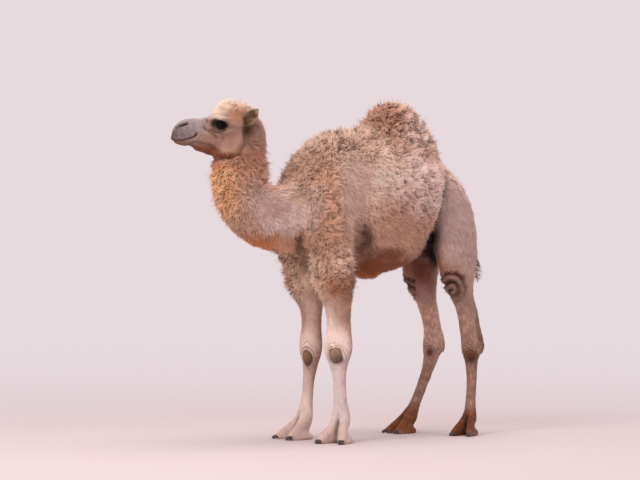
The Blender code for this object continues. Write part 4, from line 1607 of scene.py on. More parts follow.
@dataclass(frozen=True)
class Limbs:
    """The four legs, with their shoulders and haunches, and the feet."""

    toe: Rows = (
        (0.015, 0.004, 0.098, 0.0215, 0.028), (0.022, -0.022, 0.066, 0.0205, 0.026),
        (0.033, -0.056, 0.04, 0.0215, 0.022), (0.043, -0.088, 0.021, 0.0225, 0.018),
        (0.048, -0.11, 0.008, 0.0195, 0.014),
    )
    sole: Rows = (
        (0.026, 0.01, 0.01, 0.024, 0.016), (0.031, -0.01, 0.01, 0.031, 0.019),
        (0.039, -0.05, 0.008, 0.032, 0.017), (0.045, -0.092, 0.003, 0.025, 0.013),
    )
    web: Rows = (
        (0.0, 0.01, 0.062, 0.026, 0.03), (0.0, -0.02, 0.04, 0.026, 0.024),
        (0.0, -0.042, 0.022, 0.02, 0.016), (0.0, -0.052, 0.013, 0.014, 0.01),
    )

    def fore(self, leg: Leg) -> list[Surface]:
        """Shoulder blade, upper arm, forearm, broad flat knee, cannon and fetlock.

        Args:
            leg: the leg.

        Returns:
            Its lofts.
        """
        s, x, k, f = leg.side.value, leg.x, leg.joint, leg.foot
        step = f - k
        upper = ((s * 0.06, 0.09, 1.16, 0.04, 0.08), (s * 0.092, 0.052, 1.075, 0.06, 0.1),
                 (s * 0.112, -0.006, 0.98, 0.07, 0.118), (s * 0.118, -0.05, 0.885, 0.072, 0.118),
                 (x, -0.035, 0.795, 0.074, 0.098), (x, k - 0.026, 0.715, 0.076, 0.082))
        lower = ((x, k - 0.03, 0.76, 0.074, 0.078), (x, k - 0.03, 0.7, 0.082, 0.082),
                 (x, k - 0.026, 0.64, 0.084, 0.08), (x, k - 0.008, 0.58, 0.07, 0.062),
                 (x, k + 0.002, 0.52, 0.058, 0.043), (x, k + 0.002, 0.46, 0.051, 0.037),
                 (x, k, 0.405, 0.062, 0.042), (x, k - 0.002, 0.362, 0.067, 0.045),
                 (x, k, 0.325, 0.05, 0.037), (x, k + 0.2 * step, 0.28, 0.032, 0.026),
                 (x, k + 0.5 * step, 0.2, 0.0298, 0.0235), (x, k + 0.75 * step, 0.14, 0.0325, 0.025),
                 (x, f - 0.002, 0.098, 0.049, 0.036), (x, f - 0.004, 0.06, 0.036, 0.031))
        return [swept_tube(upper), swept_tube(lower, leg.turn)]

    def hind(self, leg: Leg) -> list[Surface]:
        """Haunch, thigh, stifle, shank with its tendon, hock, cannon and fetlock.

        Args:
            leg: the leg.

        Returns:
            Its lofts.
        """
        s, x, hip, hock = leg.side.value, leg.x, HIND_LINE, leg.joint
        upper = ((s * 0.06, hip - 0.084, 1.065, 0.045, 0.068), (s * 0.086, hip - 0.06, 1.0, 0.062, 0.104),
                 (s * 0.104, hip - 0.05, 0.93, 0.066, 0.124), (s * 0.114, hip - 0.042, 0.84, 0.065, 0.124),
                 (x, hip - 0.026, 0.76, 0.062, 0.112), (x, hip - 0.02, 0.69, 0.057, 0.096),
                 (x, hip - 0.013, 0.635, 0.051, 0.079), (x, hip + 0.003, 0.58, 0.04, 0.059),
                 (x, hip + 0.018, 0.53, 0.035, 0.049), (x, hip + 0.032, 0.47, 0.031, 0.042),
                 (x, hip + 0.046, 0.41, 0.034, 0.048), (x, hock, 0.365, 0.038, 0.053),
                 (x, hock, 0.33, 0.036, 0.046))
        step = leg.foot - hock
        lower = ((x, hock + 0.006, 0.385, 0.032, 0.046), (x, hock - 0.002, 0.34, 0.034, 0.044),
                 (x, hock + 0.12 * step, 0.3, 0.029, 0.035),
                 (x, hock + 0.004 + 0.3 * step, 0.25, 0.0245, 0.0285),
                 (x, hock + 0.003 + 0.6 * step, 0.17, 0.0235, 0.0265),
                 (x, hock + 0.82 * step, 0.115, 0.026, 0.027),
                 (x, hock + 0.97 * step, 0.078, 0.034, 0.034), (x, leg.foot, 0.05, 0.029, 0.029))
        point = ((x, hock + 0.048, 0.335, 0.014, 0.016), (x, hock + 0.058, 0.368, 0.018, 0.02),
                 (x, hock + 0.046, 0.42, 0.011, 0.014), (x, hock + 0.018, 0.52, 0.012, 0.018),
                 (x, hock - 0.012, 0.6, 0.012, 0.02))
        return [swept_tube(upper), swept_tube(lower, leg.turn), swept_tube(point)]

    def foot(self, leg: Leg) -> list[Surface]:
        """Two long splayed toes, parted from the fetlock down, on soft soles.

        Args:
            leg: the leg.

        Returns:
            Its lofts.
        """
        lofts = []
        for toe in (-1, 1):
            lofts += [leg.sized(self.toe, toe, leg.reach), leg.sized(self.sole, toe)]
        return [swept_tube(rows, place=leg.foot_place()) for rows in lofts + [leg.sized(self.web, 1)]]

    def tubes(self) -> list[Surface]:
        """Every leg's lofts.

        Returns:
            The lofts.
        """
        parts = []
        for leg in LEGS:
            parts += (self.fore(leg) if leg.fore else self.hind(leg)) + self.foot(leg)
        return parts


@dataclass(frozen=True)
class Tail:
    """A thin tail that hangs to the stifles."""

    rows: Rows = (
        (0.0, 0.67, 0.985, 0.03, 0.026), (0.0, 0.735, 0.972, 0.028, 0.024),
        (0.0, 0.775, 0.925, 0.024, 0.02), (0.003, 0.795, 0.85, 0.02, 0.017),
        (0.006, 0.806, 0.765, 0.019, 0.017), (0.01, 0.814, 0.695, 0.02, 0.018),
        (0.012, 0.818, 0.655, 0.017, 0.016), (0.012, 0.818, 0.64, 0.01, 0.01),
    )

    def tubes(self) -> list[Surface]:
        """The tail's loft."""
        return [swept_tube(self.rows)]


# ---- ears

@dataclass(frozen=True)
class Ear:
    """A small cupped ear.

    At each height the ear is an arc of an ellipse, wide x deep, that leaves `gap` degrees
    open towards the cup; the leaf is `thick` through, and the arc's two faces join at its rims.
    """

    root: Triple = (0.053, 0.018, -0.022)     # sideways, ahead, up
    axis: Triple = (0.52, -0.5, 0.62)
    opening: Triple = (0.92, 0.36, -0.1)
    thick: float = 0.0032
    outer: Triple = (150, 124, 98)
    rim: Triple = (178, 154, 124)
    deep: Triple = (98, 66, 46)
    base: Triple = (96, 62, 44)
    rows: Rows = (  # height, centre behind, wide, deep, degrees open
        (-0.014, 0.0, 0.0095, 0.0095, 20), (0.004, 0.0, 0.0125, 0.0115, 60),
        (0.018, -0.001, 0.018, 0.013, 150), (0.034, -0.002, 0.0235, 0.013, 165),
        (0.05, -0.002, 0.0235, 0.0115, 172), (0.064, -0.001, 0.019, 0.009, 176),
        (0.076, 0.001, 0.0115, 0.006, 178), (0.084, 0.003, 0.004, 0.003, 178),
    )

    def place(self, side: Side) -> Place:
        """The ear's frame: across, away from the opening, root to tip.

        Args:
            side: left or right.

        Returns:
            The frame.
        """
        axis = unit(np.array(self.axis))
        opening = np.array(self.opening)
        opening = unit(opening - axis * (opening @ axis))
        across = -np.cross(axis, opening)
        return Place(np.array((across, -opening, axis)), np.array(self.root)).within(HEAD.place(side))

    def colour(self, points: Array, inside: Array, side: Side) -> Array:
        """Olive cream outside, cream at the rims, dark deep in the cup and brown in front at the base.

        Args:
            points: places in the stance frame, N x 3.
            inside: which of them are inside the cup.
            side: left or right.

        Returns:
            The colours, N x 3.
        """
        local = self.place(side).into(points)
        edge = ease((np.abs(local[:, 0]) - 0.013) / 0.009)[:, None]
        tip = ease((local[:, 2] - 0.062) / 0.02)[:, None]
        low = (1 - ease((local[:, 2] - 0.006) / 0.026))[:, None]
        cup = linear(self.deep) + (linear(self.rim) - linear(self.deep)) * np.maximum(edge, tip)
        back = linear(self.outer) + (linear(self.rim) - linear(self.outer)) * edge * 0.6
        tone = np.where(inside[:, None], cup, back)
        return tone + (linear(self.base) - tone) * low * 0.8

    def shell(self, side: Side) -> tuple[Surface, Array]:
        """The leaf as a closed surface, and which of its points are inside the cup.

        Args:
            side: left or right.

        Returns:
            The surface, and a truth for each of its points.
        """
        line = smooth_rows(self.rows, 5)
        height, back, wide, deep, gap = line.T[:, :, None]
        across = 19
        share = np.linspace(-1, 1, across)[None]
        sweep = share * np.radians(180 - gap / 2)
        taper = self.thick / 2 * (1 - 0.75 * np.abs(share) ** 4)
        rings = []
        for offset in (taper, -taper):
            x = (wide + offset) * np.sin(sweep)
            y = back + (deep + offset) * np.cos(sweep)
            rings.append(np.stack([x, y, height + 0 * x], axis=-1))
        grid = np.concatenate([rings[0], rings[1][:, ::-1]], axis=1)
        inside = np.tile(np.arange(2 * across)[::-1] >= across, len(line))
        return closed_tube(grid[:, ::-1]).moved(self.place(side)), np.append(inside, [False, False])


EAR = Ear()


# ---- eyes

@dataclass(frozen=True)
class Eye:
    """An eyeball, with the shape of the opening between its lids.

    The opening's edge lies at polar angle (|cos a / across|^p + |sin a / up|^p)^(-1/p) from
    the way the eye looks, where a goes round from the front corner over the top.
    """

    spot: Triple = (0.06, 0.108, -0.0225)
    radius: float = 0.0183
    gaze: Triple = (0.975, 0.14, -0.09)
    across: float = math.radians(66)
    above: float = math.radians(39)
    below: float = math.radians(34)
    point: float = 1.7
    slope: float = math.radians(16)    # the opening's front corner is higher than its rear one

    def place(self, side: Side) -> Place:
        """The eye's frame: to its front corner, up, and out along the gaze.

        Args:
            side: left or right.

        Returns:
            The frame.
        """
        gaze = unit(np.array(self.gaze))
        ahead = np.array((0.0, 1.0, 0.0))
        ahead = unit(ahead - gaze * (gaze @ ahead))
        up = np.cross(gaze, ahead)
        up = up * np.sign(up[2])
        ahead, up = (ahead * math.cos(self.slope) + up * math.sin(self.slope),
                     up * math.cos(self.slope) - ahead * math.sin(self.slope))
        return Place(np.array((ahead, up, gaze)), np.array(self.spot)).within(HEAD.place(side))

    def opening(self, turn: Array) -> Array:
        """Polar angle of the opening's edge.

        Args:
            turn: the angle round the gaze, from the front corner.

        Returns:
            The angle from the gaze.
        """
        tall = np.where(np.sin(turn) > 0, self.above, self.below)
        parts = np.abs(np.cos(turn) / self.across) ** self.point + np.abs(np.sin(turn) / tall) ** self.point
        return parts ** (-1 / self.point)

    def ball(self, side: Side) -> tuple[Surface, Array]:
        """The eyeball with its cornea standing proud, and how far each point is from the pupil.

        Args:
            side: left or right.

        Returns:
            The surface, and a number for each of its points.
        """
        polar = np.linspace(0.02, np.pi - 0.02, 40)[:, None]
        turn = np.linspace(0, 2 * np.pi, 56, endpoint=False)[None]
        far = self.radius * (1 + 0.03 * np.exp(-((polar / 0.7) ** 2)))
        surface = closed_tube(round_ball(far, polar, turn))
        pupil = np.sqrt((np.cos(turn) * 0.8) ** 2 + (np.sin(turn) * 1.35) ** 2)
        iris = np.clip(polar * (pupil * (polar < 0.5) + (polar >= 0.5)), 0, 1)
        place = self.place(side)
        flip = Surface(surface.points, surface.quads[:, ::-1], surface.tris[:, ::-1])
        return flip.moved(place), np.concatenate([iris.ravel(), [0, 1]])

    def lids(self, side: Side) -> Surface:
        """Both lids as one closed ring round the opening.

        A loop of (turn further out, height over the ball) is carried round the opening; the
        upper lid stands a little prouder than the lower.

        Args:
            side: left or right.

        Returns:
            The surface.
        """
        turn = np.linspace(0, 2 * np.pi, 72, endpoint=False)[:, None]
        loop = np.array((
            (-0.02, 0.0002), (0.0, 0.0012), (0.06, 0.0022), (0.15, 0.003), (0.28, 0.0032),
            (0.44, 0.0024), (0.62, 0.0004), (0.78, -0.0034), (0.56, -0.0042), (0.32, -0.0012),
            (0.12, -0.0004), (0.02, -0.0003)))
        out, high = loop.T[:, None]
        upper = ease(np.sin(turn) * 1.5)
        polar = self.opening(turn) + out
        folds = 0.0006 * np.sin(out * 26) * upper * (out > 0.08) * (out < 0.6)
        far = self.radius + high + 0.0014 * upper * np.exp(-((out - 0.14) / 0.16) ** 2) + folds
        grid = round_ball(far, polar, turn)
        rings, sides = grid.shape[:2]
        index = np.arange(rings * sides).reshape(rings, sides)
        along, after = np.roll(index, -1, axis=0), np.roll(index, -1, axis=1)
        both = np.roll(along, -1, axis=1)
        quads = np.stack([index, after, both, along], axis=-1).reshape(-1, 4)
        return Surface(grid.reshape(-1, 3), quads).moved(self.place(side))

    def clear(self, points: Array, side: Side) -> Array:
        """Skin points moved off the eye: behind the ball inside the opening, and just over it outside.

        Args:
            points: places in the stance frame, N x 3.
            side: left or right.

        Returns:
            The points, moved.
        """
        place = self.place(side)
        local = place.into(points)
        far = np.linalg.norm(local, axis=1)
        near = far < self.radius * 2.2
        spot = local[near]
        reach = far[near]
        polar = np.arccos(np.clip(spot[:, 2] / np.maximum(reach, 1e-6), -1, 1))
        edge = self.opening(np.arctan2(spot[:, 1], spot[:, 0]))
        inside = 1 - ease((polar - edge - 0.14) / 0.16)
        outward = (polar < 1.7) & (reach > self.radius * 0.4)
        sunk = np.minimum(reach, self.radius - 0.004)
        raised = np.maximum(reach, self.radius + 0.001)
        target = np.where(outward, raised * (1 - inside) + sunk * inside, reach)
        spot = spot * (target / np.maximum(reach, 1e-6))[:, None]
        moved = points.copy()
        moved[near] = place.out(spot)
        return moved


EYE = Eye()


# ---- the skin

@dataclass
class Skin:
    """One skin over the whole animal, inside the coat by the coat's depth."""

    material: Material
    voxel: float = 0.0098
    soften_rounds: int = 5
    relax_rounds: int = 16

    def merged(self) -> Mesh:
        """All the lofts as one even-meshed skin at the outline of the coat.

        Returns:
            The mesh.
        """
        tubes = Torso().tubes() + NeckAndHead().tubes() + Limbs().tubes() + Tail().tubes()
        rough = bpy.data.objects.new("rough", Surface.joined(tubes).mesh("rough"))
        bpy.context.scene.collection.objects.link(rough)
        join = rough.modifiers.new("Join", "REMESH")
        join.mode, join.voxel_size = "VOXEL", self.voxel
        soften = rough.modifiers.new("Soften", "SMOOTH")
        soften.factor, soften.iterations = 0.5, self.soften_rounds
        graph = bpy.context.evaluated_depsgraph_get()
        mesh = bpy.data.meshes.new_from_object(rough.evaluated_get(graph))
        spare = rough.data
        bpy.data.objects.remove(rough)
        bpy.data.meshes.remove(spare)
        return mesh

    def refine(self, mesh: Mesh, inside: Array, cuts: int) -> Mesh:
        """Cuts the edges whose two ends are both inside the zone.

        Args:
            mesh: the skin.
            inside: a truth for each of its points.
            cuts: how many cuts to an edge.

        Returns:
            The same mesh, finer there.
        """
        edges = mesh_edges(mesh)
        chosen = np.flatnonzero(inside[edges].all(axis=1))
        bm = bmesh.new()
        bm.from_mesh(mesh)
        bm.edges.ensure_lookup_table()
        bmesh.ops.subdivide_edges(bm, edges=[bm.edges[i] for i in chosen], cuts=cuts, use_grid_fill=True)
        bm.to_mesh(mesh)
        bm.free()
        return mesh

    def face_zone(self, points: Array) -> Array:
        """True on the face, where the finest lines are."""
        local = HEAD.local(points)
        return (local[:, 1] > 0.045) & (local[:, 2] > -0.17)

    def fine_zone(self, points: Array) -> Array:
        """True on the rest of the head, the knees, the hocks and the feet.

        Args:
            points: places in the stance frame, N x 3.

        Returns:
            A truth for each place.
        """
        local = HEAD.local(points)
        head = (local[:, 1] > -0.02) & (local[:, 2] > -0.16)
        legs = (points[:, 2] < 0.105) | ((points[:, 2] > 0.285) & (points[:, 2] < 0.425))
        stifle = Patch((0.145, 0.575, 0.64), (0.07, 0.06, 0.08), soft=0.01).weight(points) > 0.5
        return head | legs | stifle

    def build(self) -> Object:
        """The skin, shaped, coloured and standing in for the flesh.

        Returns:
            The piece.
        """
        mesh = self.merged()
        mesh = self.refine(mesh, self.face_zone(mesh_points(mesh)), 3)
        points = mesh_points(mesh)
        mesh = self.refine(mesh, self.fine_zone(points) & ~self.face_zone(points), 1)
        points, edges = mesh_points(mesh), mesh_edges(mesh)
        share = np.where(self.face_zone(points) | self.fine_zone(points), 0.6, 0.3)
        points = relax(points, edges, share, self.relax_rounds)
        move_points(mesh, points)
        normals = mesh_normals(mesh)
        growth = COAT_MAP.at(points)
        points = points - normals * growth[:, :1]
        points = self.carve(points, normals)
        points[:, 2] = np.maximum(points[:, 2], 0.0)
        for side in Side:
            points = EYE.clear(points, side)
        move_points(mesh, points)
        return self.dress(mesh)

    def carve(self, points: Array, normals: Array) -> Array:
        """Moves the skin along its normals by every line, pad, fold and tendon.

        Args:
            points: places in the stance frame, N x 3.
            normals: the skin's normals there, N x 3.

        Returns:
            The points, moved.
        """
        rise = np.zeros(len(points))
        for line in FACE_LINES:
            rise += line.rise * line.weight(points)
        for fold in CREASES:
            rise += fold.rise * fold.weight(points)
        for pad in PADS:
            rise += pad.height(points)
        points = self.part_toes(points)
        local = HEAD.local(points)
        cleft = np.exp(-((local[:, 0] / 0.0035) ** 2)) * ease((local[:, 1] - 0.262) / 0.012)
        rise -= 0.0035 * cleft * ease((-0.04 - local[:, 2]) / 0.008) * ease((local[:, 2] + 0.082) / 0.006)
        x, y, z = points.T
        cannon = ease((z - 0.13) / 0.05) * (1 - ease((z - 0.27) / 0.04))
        rise += 0.0011 * cannon * waves(points * np.array((1, 1, 0.12)), 0.024, 51)
        shank = ease((z - 0.4) / 0.05) * (1 - ease((z - 0.56) / 0.06))
        rise += 0.0018 * shank * waves(points * np.array((1, 1, 0.1)), 0.034, 52)
        woolly = ease((COAT_MAP.at(points)[:, 2] - 0.4) / 0.4)
        rise += (0.0012 + 0.003 * woolly) * waves(points, 0.055, 53) * ease((z - 0.55) / 0.1)
        return points + normals * rise[:, None]

    def part_toes(self, points: Array) -> Array:
        """Presses a groove straight back into the front of each foot, between its toes.

        A point goes back by 0.018 * exp(-(across / 0.0062)^2), less at the fetlock and none behind.

        Args:
            points: places in the stance frame, N x 3.

        Returns:
            The points, moved.
        """
        moved = points.copy()
        for leg in LEGS:
            local = leg.foot_place().into(points)
            near = (np.linalg.norm(local[:, :2], axis=1) < 0.15) & (local[:, 2] < 0.13)
            across, back, up = local[near].T
            top = 0.1 if leg.fore else 0.078
            shut = np.exp(-((across / 0.0062) ** 2)) * (1 - ease((up - top + 0.03) / 0.035))
            ahead = 1 - ease((back + 0.012) / 0.02)
            back = back + 0.018 * shut * ahead
            moved[near] = leg.foot_place().out(np.column_stack([across, back, up]))
        return moved

    def dress(self, mesh: Mesh) -> Object:
        """Adds ears and lids to the mesh's points, writes the colours and puts the skin in place.

        Args:
            mesh: the shaped skin.

        Returns:
            The piece.
        """
        base = mesh_points(mesh)
        ears = [EAR.shell(side) for side in Side]
        inside = np.concatenate([cup for _, cup in ears])
        extra = Surface.joined([leaf for leaf, _ in ears] + [EYE.lids(side) for side in Side])
        bm = bmesh.new()
        bm.from_mesh(mesh)
        spare = extra.mesh("extra")
        bm.from_mesh(spare)
        bm.to_mesh(mesh)
        bm.free()
        bpy.data.meshes.remove(spare)
        points = mesh_points(mesh)
        colour = MARKINGS.at(points)
        depth = COAT_MAP.at(points)[:, 0]
        # painted shade: the skin is darker where the coat over it is deep
        under = 1 - 0.14 * ease((depth - 0.005) / 0.01)
        colour = colour * under[:, None]
        half = len(inside) // 2
        for number, side in enumerate(Side):
            ear = slice(len(base) + number * half, len(base) + (number + 1) * half)
            colour[ear] = EAR.colour(points[ear], ears[number][1], side)
        lids = slice(len(base) + len(inside), None)
        lid_points = points[lids]
        rim = np.zeros(len(lid_points))
        for side in Side:
            eye = EYE.place(side).into(lid_points)
            polar = np.arccos(np.clip(eye[:, 2] / np.linalg.norm(eye, axis=1), -1, 1))
            edge = EYE.opening(np.arctan2(eye[:, 1], eye[:, 0]))
            near = np.linalg.norm(eye, axis=1) < 0.04
            rim = np.maximum(rim, (1 - ease((polar - edge - 0.16) / 0.3)) * near)
        colour[lids] = colour[lids] * (1 - rim[:, None]) + linear(LASH_COLOUR) * rim[:, None]
        write_colour(mesh, "Coat", colour)
        write_vector(mesh, "Grain", self.grain(points))
        mesh.polygons.foreach_set("use_smooth", np.ones(len(mesh.polygons), bool))
        skin = add_piece("skin", mesh, self.material)
        flesh = [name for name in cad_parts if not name.endswith(("eye", "toenail"))]
        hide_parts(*flesh)
        return skin

    def grain(self, points: Array) -> Array:
        """Metres along the lie and metres across it, for streaks that follow the coat.

        Args:
            points: places in the stance frame, N x 3.

        Returns:
            The two distances and a nought, N x 3.
        """
        x, y, z = points.T
        local = HEAD.local(points)
        head = (local[:, 1] > -0.03) & (local[:, 2] > -0.17)
        out = np.column_stack([-z, np.where(np.abs(x) > 0.2, y, x + y), 0 * z])
        trunk = (z > 0.62) & (y > -0.2)
        out[trunk] = np.column_stack([0.8 * y - 0.6 * z, 0.6 * y + 0.8 * z + x * 0.5, 0 * z])[trunk]
        out[head] = np.column_stack([local[:, 1], local[:, 2] + 0.5 * np.abs(local[:, 0]), 0 * z])[head]
        return out


# ---- the coat

class Cut(Enum):
    """How many rings a lock has."""

    WOOL = 3
    SHORT = 2


@dataclass(frozen=True)
class Locks:
    """Roots of a batch of locks and everything that shapes them."""

    roots: Array
    normals: Array
    lie: Array
    length: Array
    girth: Array
    lift: Array
    curl: Array
    colour: Array
    cut: Cut

    def pick(self, chosen: Array) -> Locks:
        """Some of the locks."""
        return replace(self, **{part.name: getattr(self, part.name)[chosen]
                                for part in fields(self) if part.name != "cut"})


@dataclass(frozen=True)
class LockMesh:
    """Finished locks: the surface, and each point's colour, place on the bake map and shading normal."""

    surface: Surface
    colour: Array
    uv: Array
    normals: Array

    @staticmethod
    def joined(parts: list[LockMesh]) -> LockMesh:
        """Several batches as one."""
        return LockMesh(Surface.joined([p.surface for p in parts]), np.concatenate([p.colour for p in parts]),
                        np.concatenate([p.uv for p in parts]), np.concatenate([p.normals for p in parts]))

    def piece(self, name: str, material: Material) -> Object:
        """The locks as a piece of the model, kept off the floor.

        Args:
            name: the piece's name.
            material: its one material.

        Returns:
            The piece.
        """
        self.surface.points[:, 2] = np.maximum(self.surface.points[:, 2], 0.0006)
        mesh = self.surface.mesh(name)
        write_colour(mesh, "Coat", self.colour)
        write_uv(mesh, "OFBake", self.uv)
        write_vector(mesh, "custom_normal", self.normals)
        return add_piece(name, mesh, material)


@dataclass
class LockMaker:
    """Turns roots into a mesh of tapered, curling three-sided locks.

    A lock's middle line goes `rings` steps of equal length. Each step points at a pitch above
    the skin that falls from root to tip, and at a yaw from the lie that turns steadily by the
    curl. Every ring is a triangle, flat side to the skin, and the tip is one point.
    """

    rng: np.random.Generator
    fine_tuft: float = 0.014
    coarse_tuft: float = 0.026
    gather: float = 0.55
    # how dark a woolly lock's root is painted, as painted shade deep in the coat
    root_tone: float = 0.78
    sunk: float = 0.0012           # how far under the skin a lock starts
    lump: float = 0.75             # how far the shading leans away from a tuft's middle
    room: Triple = (0.017, 0.045, 0.045)  # how far past the solid body's box a lock may end
    widths: dict[Cut, tuple[float, ...]] = field(default_factory=lambda: {
        Cut.WOOL: (0.9, 1.0, 0.66), Cut.SHORT: (1.0, 0.72)})

    def tufts(self, locks: Locks) -> tuple[Array, Array]:
        """Which tuft each lock belongs to.

        Args:
            locks: the locks.

        Returns:
            The way along the skin to the tuft's middle, over the tuft's size, and the tuft's
            own three random numbers, each N x 3.
        """
        centre, marks = clumps(locks.roots, self.fine_tuft, 5)
        broad, broad_marks = clumps(locks.roots, self.coarse_tuft, 9)
        woolly = locks.curl + self.rng.normal(0, 0.05, len(locks.roots)) > 0.68
        size = np.where(woolly, self.coarse_tuft, self.fine_tuft)[:, None]
        pull = along_skin(np.where(woolly[:, None], broad, centre) - locks.roots, locks.normals)
        return pull / size, np.column_stack([np.where(woolly[:, None], broad_marks, marks), size])

    def middle_line(self, locks: Locks, pull: Array, marks: Array) -> tuple[Array, Array]:
        """Centres of the rings and the tip (N x rings+1 x 3), and the way each step goes.

        Args:
            locks: the locks.
            pull: the way to the middle of the tuft, N x 3.
            marks: the tuft's own numbers, N x 3.

        Returns:
            The two.
        """
        count, rings = len(locks.roots), locks.cut.value
        curl = locks.curl[:, None]
        step = np.arange(rings)[None] / max(rings - 1, 1)
        droop = (0.9 - 1.25 * step) * (18 + 26 * curl)
        jitter = self.rng.normal(0, 4 + 15 * locks.curl)[:, None]
        pitch = np.radians(locks.lift[:, None] * (0.7 + 0.6 * marks[:, :1]) + droop + jitter)
        sign = np.where(self.rng.random((count, 1)) * 0.3 + marks[:, 1:2] > 0.65, 1.0, -1.0)
        stray = self.rng.normal(0, 7 + 20 * locks.curl)[:, None]
        yaw = np.radians((marks[:, 2:3] - 0.5) * 150 * curl + stray)
        yaw = yaw + np.radians(sign * 150 * curl) * (step - 0.4)
        across = np.cross(locks.normals, locks.lie)
        pitch, yaw = np.clip(pitch, -0.35, 1.45)[..., None], yaw[..., None]
        way = (np.cos(pitch) * (np.cos(yaw) * locks.lie[:, None] + np.sin(yaw) * across[:, None])
               + np.sin(pitch) * locks.normals[:, None])
        run = way * (locks.length / rings)[:, None, None]
        line = np.concatenate([np.zeros((count, 1, 3)), np.cumsum(run, axis=1)], axis=1)
        share = (np.arange(rings + 1) / rings) ** 1.4
        line = line + (pull * marks[:, 3:])[:, None] * share[None, :, None] * (self.gather * curl)[..., None]
        return locks.roots[:, None] - locks.normals[:, None] * self.sunk + line, way

    def trimmed(self, points: Array, roots: Array) -> Array:
        """The locks' points, each lock shrunk towards its root until it ends inside the room round the body.

        Args:
            points: every lock's points, N x K x 3.
            roots: the locks' roots, N x 3.

        Returns:
            The points, moved.
        """
        low, high = (np.array(corner) - STANCE_SHIFT for corner in (CAD_BOX[0], CAD_BOX[1]))
        reach = points - roots[:, None]
        room = np.array(self.room)
        past_high = reach.max(axis=1) / np.maximum(high + room - roots, 1e-4)
        past_low = -reach.min(axis=1) / np.maximum(roots - low + room, 1e-4)
        shrink = 1 / np.maximum(1.0, np.maximum(past_high, past_low).max(axis=1))
        return roots[:, None] + reach * shrink[:, None, None]

    def surface(self, locks: Locks) -> LockMesh:
        """The locks as one surface with its colours, places on the bake map and shading normals.

        The shading normal is mostly the skin's, with a share of the lock's own, so that the coat
        is lit as one soft body.

        Args:
            locks: the locks, all of one cut.

        Returns:
            The locks with all that a piece needs.
        """
        count, rings = len(locks.roots), locks.cut.value
        pull, marks = self.tufts(locks)
        line, way = self.middle_line(locks, pull, marks)
        side = unit(np.cross(way, locks.normals[:, None]))
        ridge = np.cross(side, way)
        wide = locks.girth[:, None] * np.array(self.widths[locks.cut])[None]
        corners = np.array(((1.0, -0.3), (0.0, 0.62), (-1.0, -0.3)))
        if locks.cut is Cut.SHORT:
            corners[:, 1] *= 0.4
        ring = (line[:, :-1, None] + side[:, :, None] * (corners[:, 0] * wide[..., None])[..., None]
                + ridge[:, :, None] * (corners[:, 1] * wide[..., None])[..., None])
        points = np.concatenate([ring.reshape(count, -1, 3), line[:, -1:]], axis=1)
        points = self.trimmed(points, locks.roots)
        size = rings * 3 + 1
        faces = []
        for r in range(rings - 1):
            for k in range(3):
                a, b = r * 3 + k, r * 3 + (k + 1) % 3
                faces += [(a, b + 3, b), (a, a + 3, b + 3)]
        top = (rings - 1) * 3
        faces += [(top + k, size - 1, top + (k + 1) % 3) for k in range(3)] + [(0, 1, 2)]
        tris = (np.array(faces)[None] + (np.arange(count) * size)[:, None, None]).reshape(-1, 3)
        along = np.repeat(np.arange(rings) / rings, 3)
        along = np.append(along, 1.0)[None, :, None]
        # painted shade: roots darker deep in the coat; the paler tips are the hair's own
        depth = (self.root_tone + (1.0 - self.root_tone) * (1 - locks.curl))[:, None, None]
        tip = (1.12 + 0.12 * locks.curl)[:, None, None]
        shade = depth + (tip - depth) * along ** 0.75
        # painted shade: locks far from their tuft's middle are darker, as in the gaps between tufts
        tuft_edge_shade = np.clip((pull ** 2).sum(axis=1) / 0.4, 0, 1) * locks.curl
        tone = (1 + 0.12 * (marks[:, 1] - 0.5) + self.rng.normal(0, 0.05, count)) * (1.04 - 0.16 * tuft_edge_shade)
        tone = tone[:, None, None]
        colour = locks.colour[:, None] * shade * tone
        warm = np.array((1.03, 0.97, 0.91)) ** (1 - along)
        spread = np.append(np.tile((-1.0, 0.0, 1.0), rings), 0.0)
        patch = np.stack([spread * 0.0015, (along[0, :, 0] - 0.5) * 0.003], axis=-1)
        uv = UNWRAP.at(locks.roots)[:, None] + patch[None]
        own = corners[:, 0, None] * side[:, :, None] + corners[:, 1, None] * ridge[:, :, None]
        own = own.reshape(count, -1, 3)
        own = unit(np.concatenate([own, way[:, -1:]], axis=1))
        soft = unit(locks.normals - pull * (self.lump * locks.curl)[:, None])
        share = (0.12 + 0.12 * locks.curl)[:, None, None]
        normals = unit(own * share + soft[:, None] * (1 - share))
        colour = np.clip(colour * warm, 0, 0.98)
        return LockMesh(Surface(points.reshape(-1, 3), tris=tris), colour.reshape(-1, 3), uv.reshape(-1, 2),
                        normals.reshape(-1, 3))


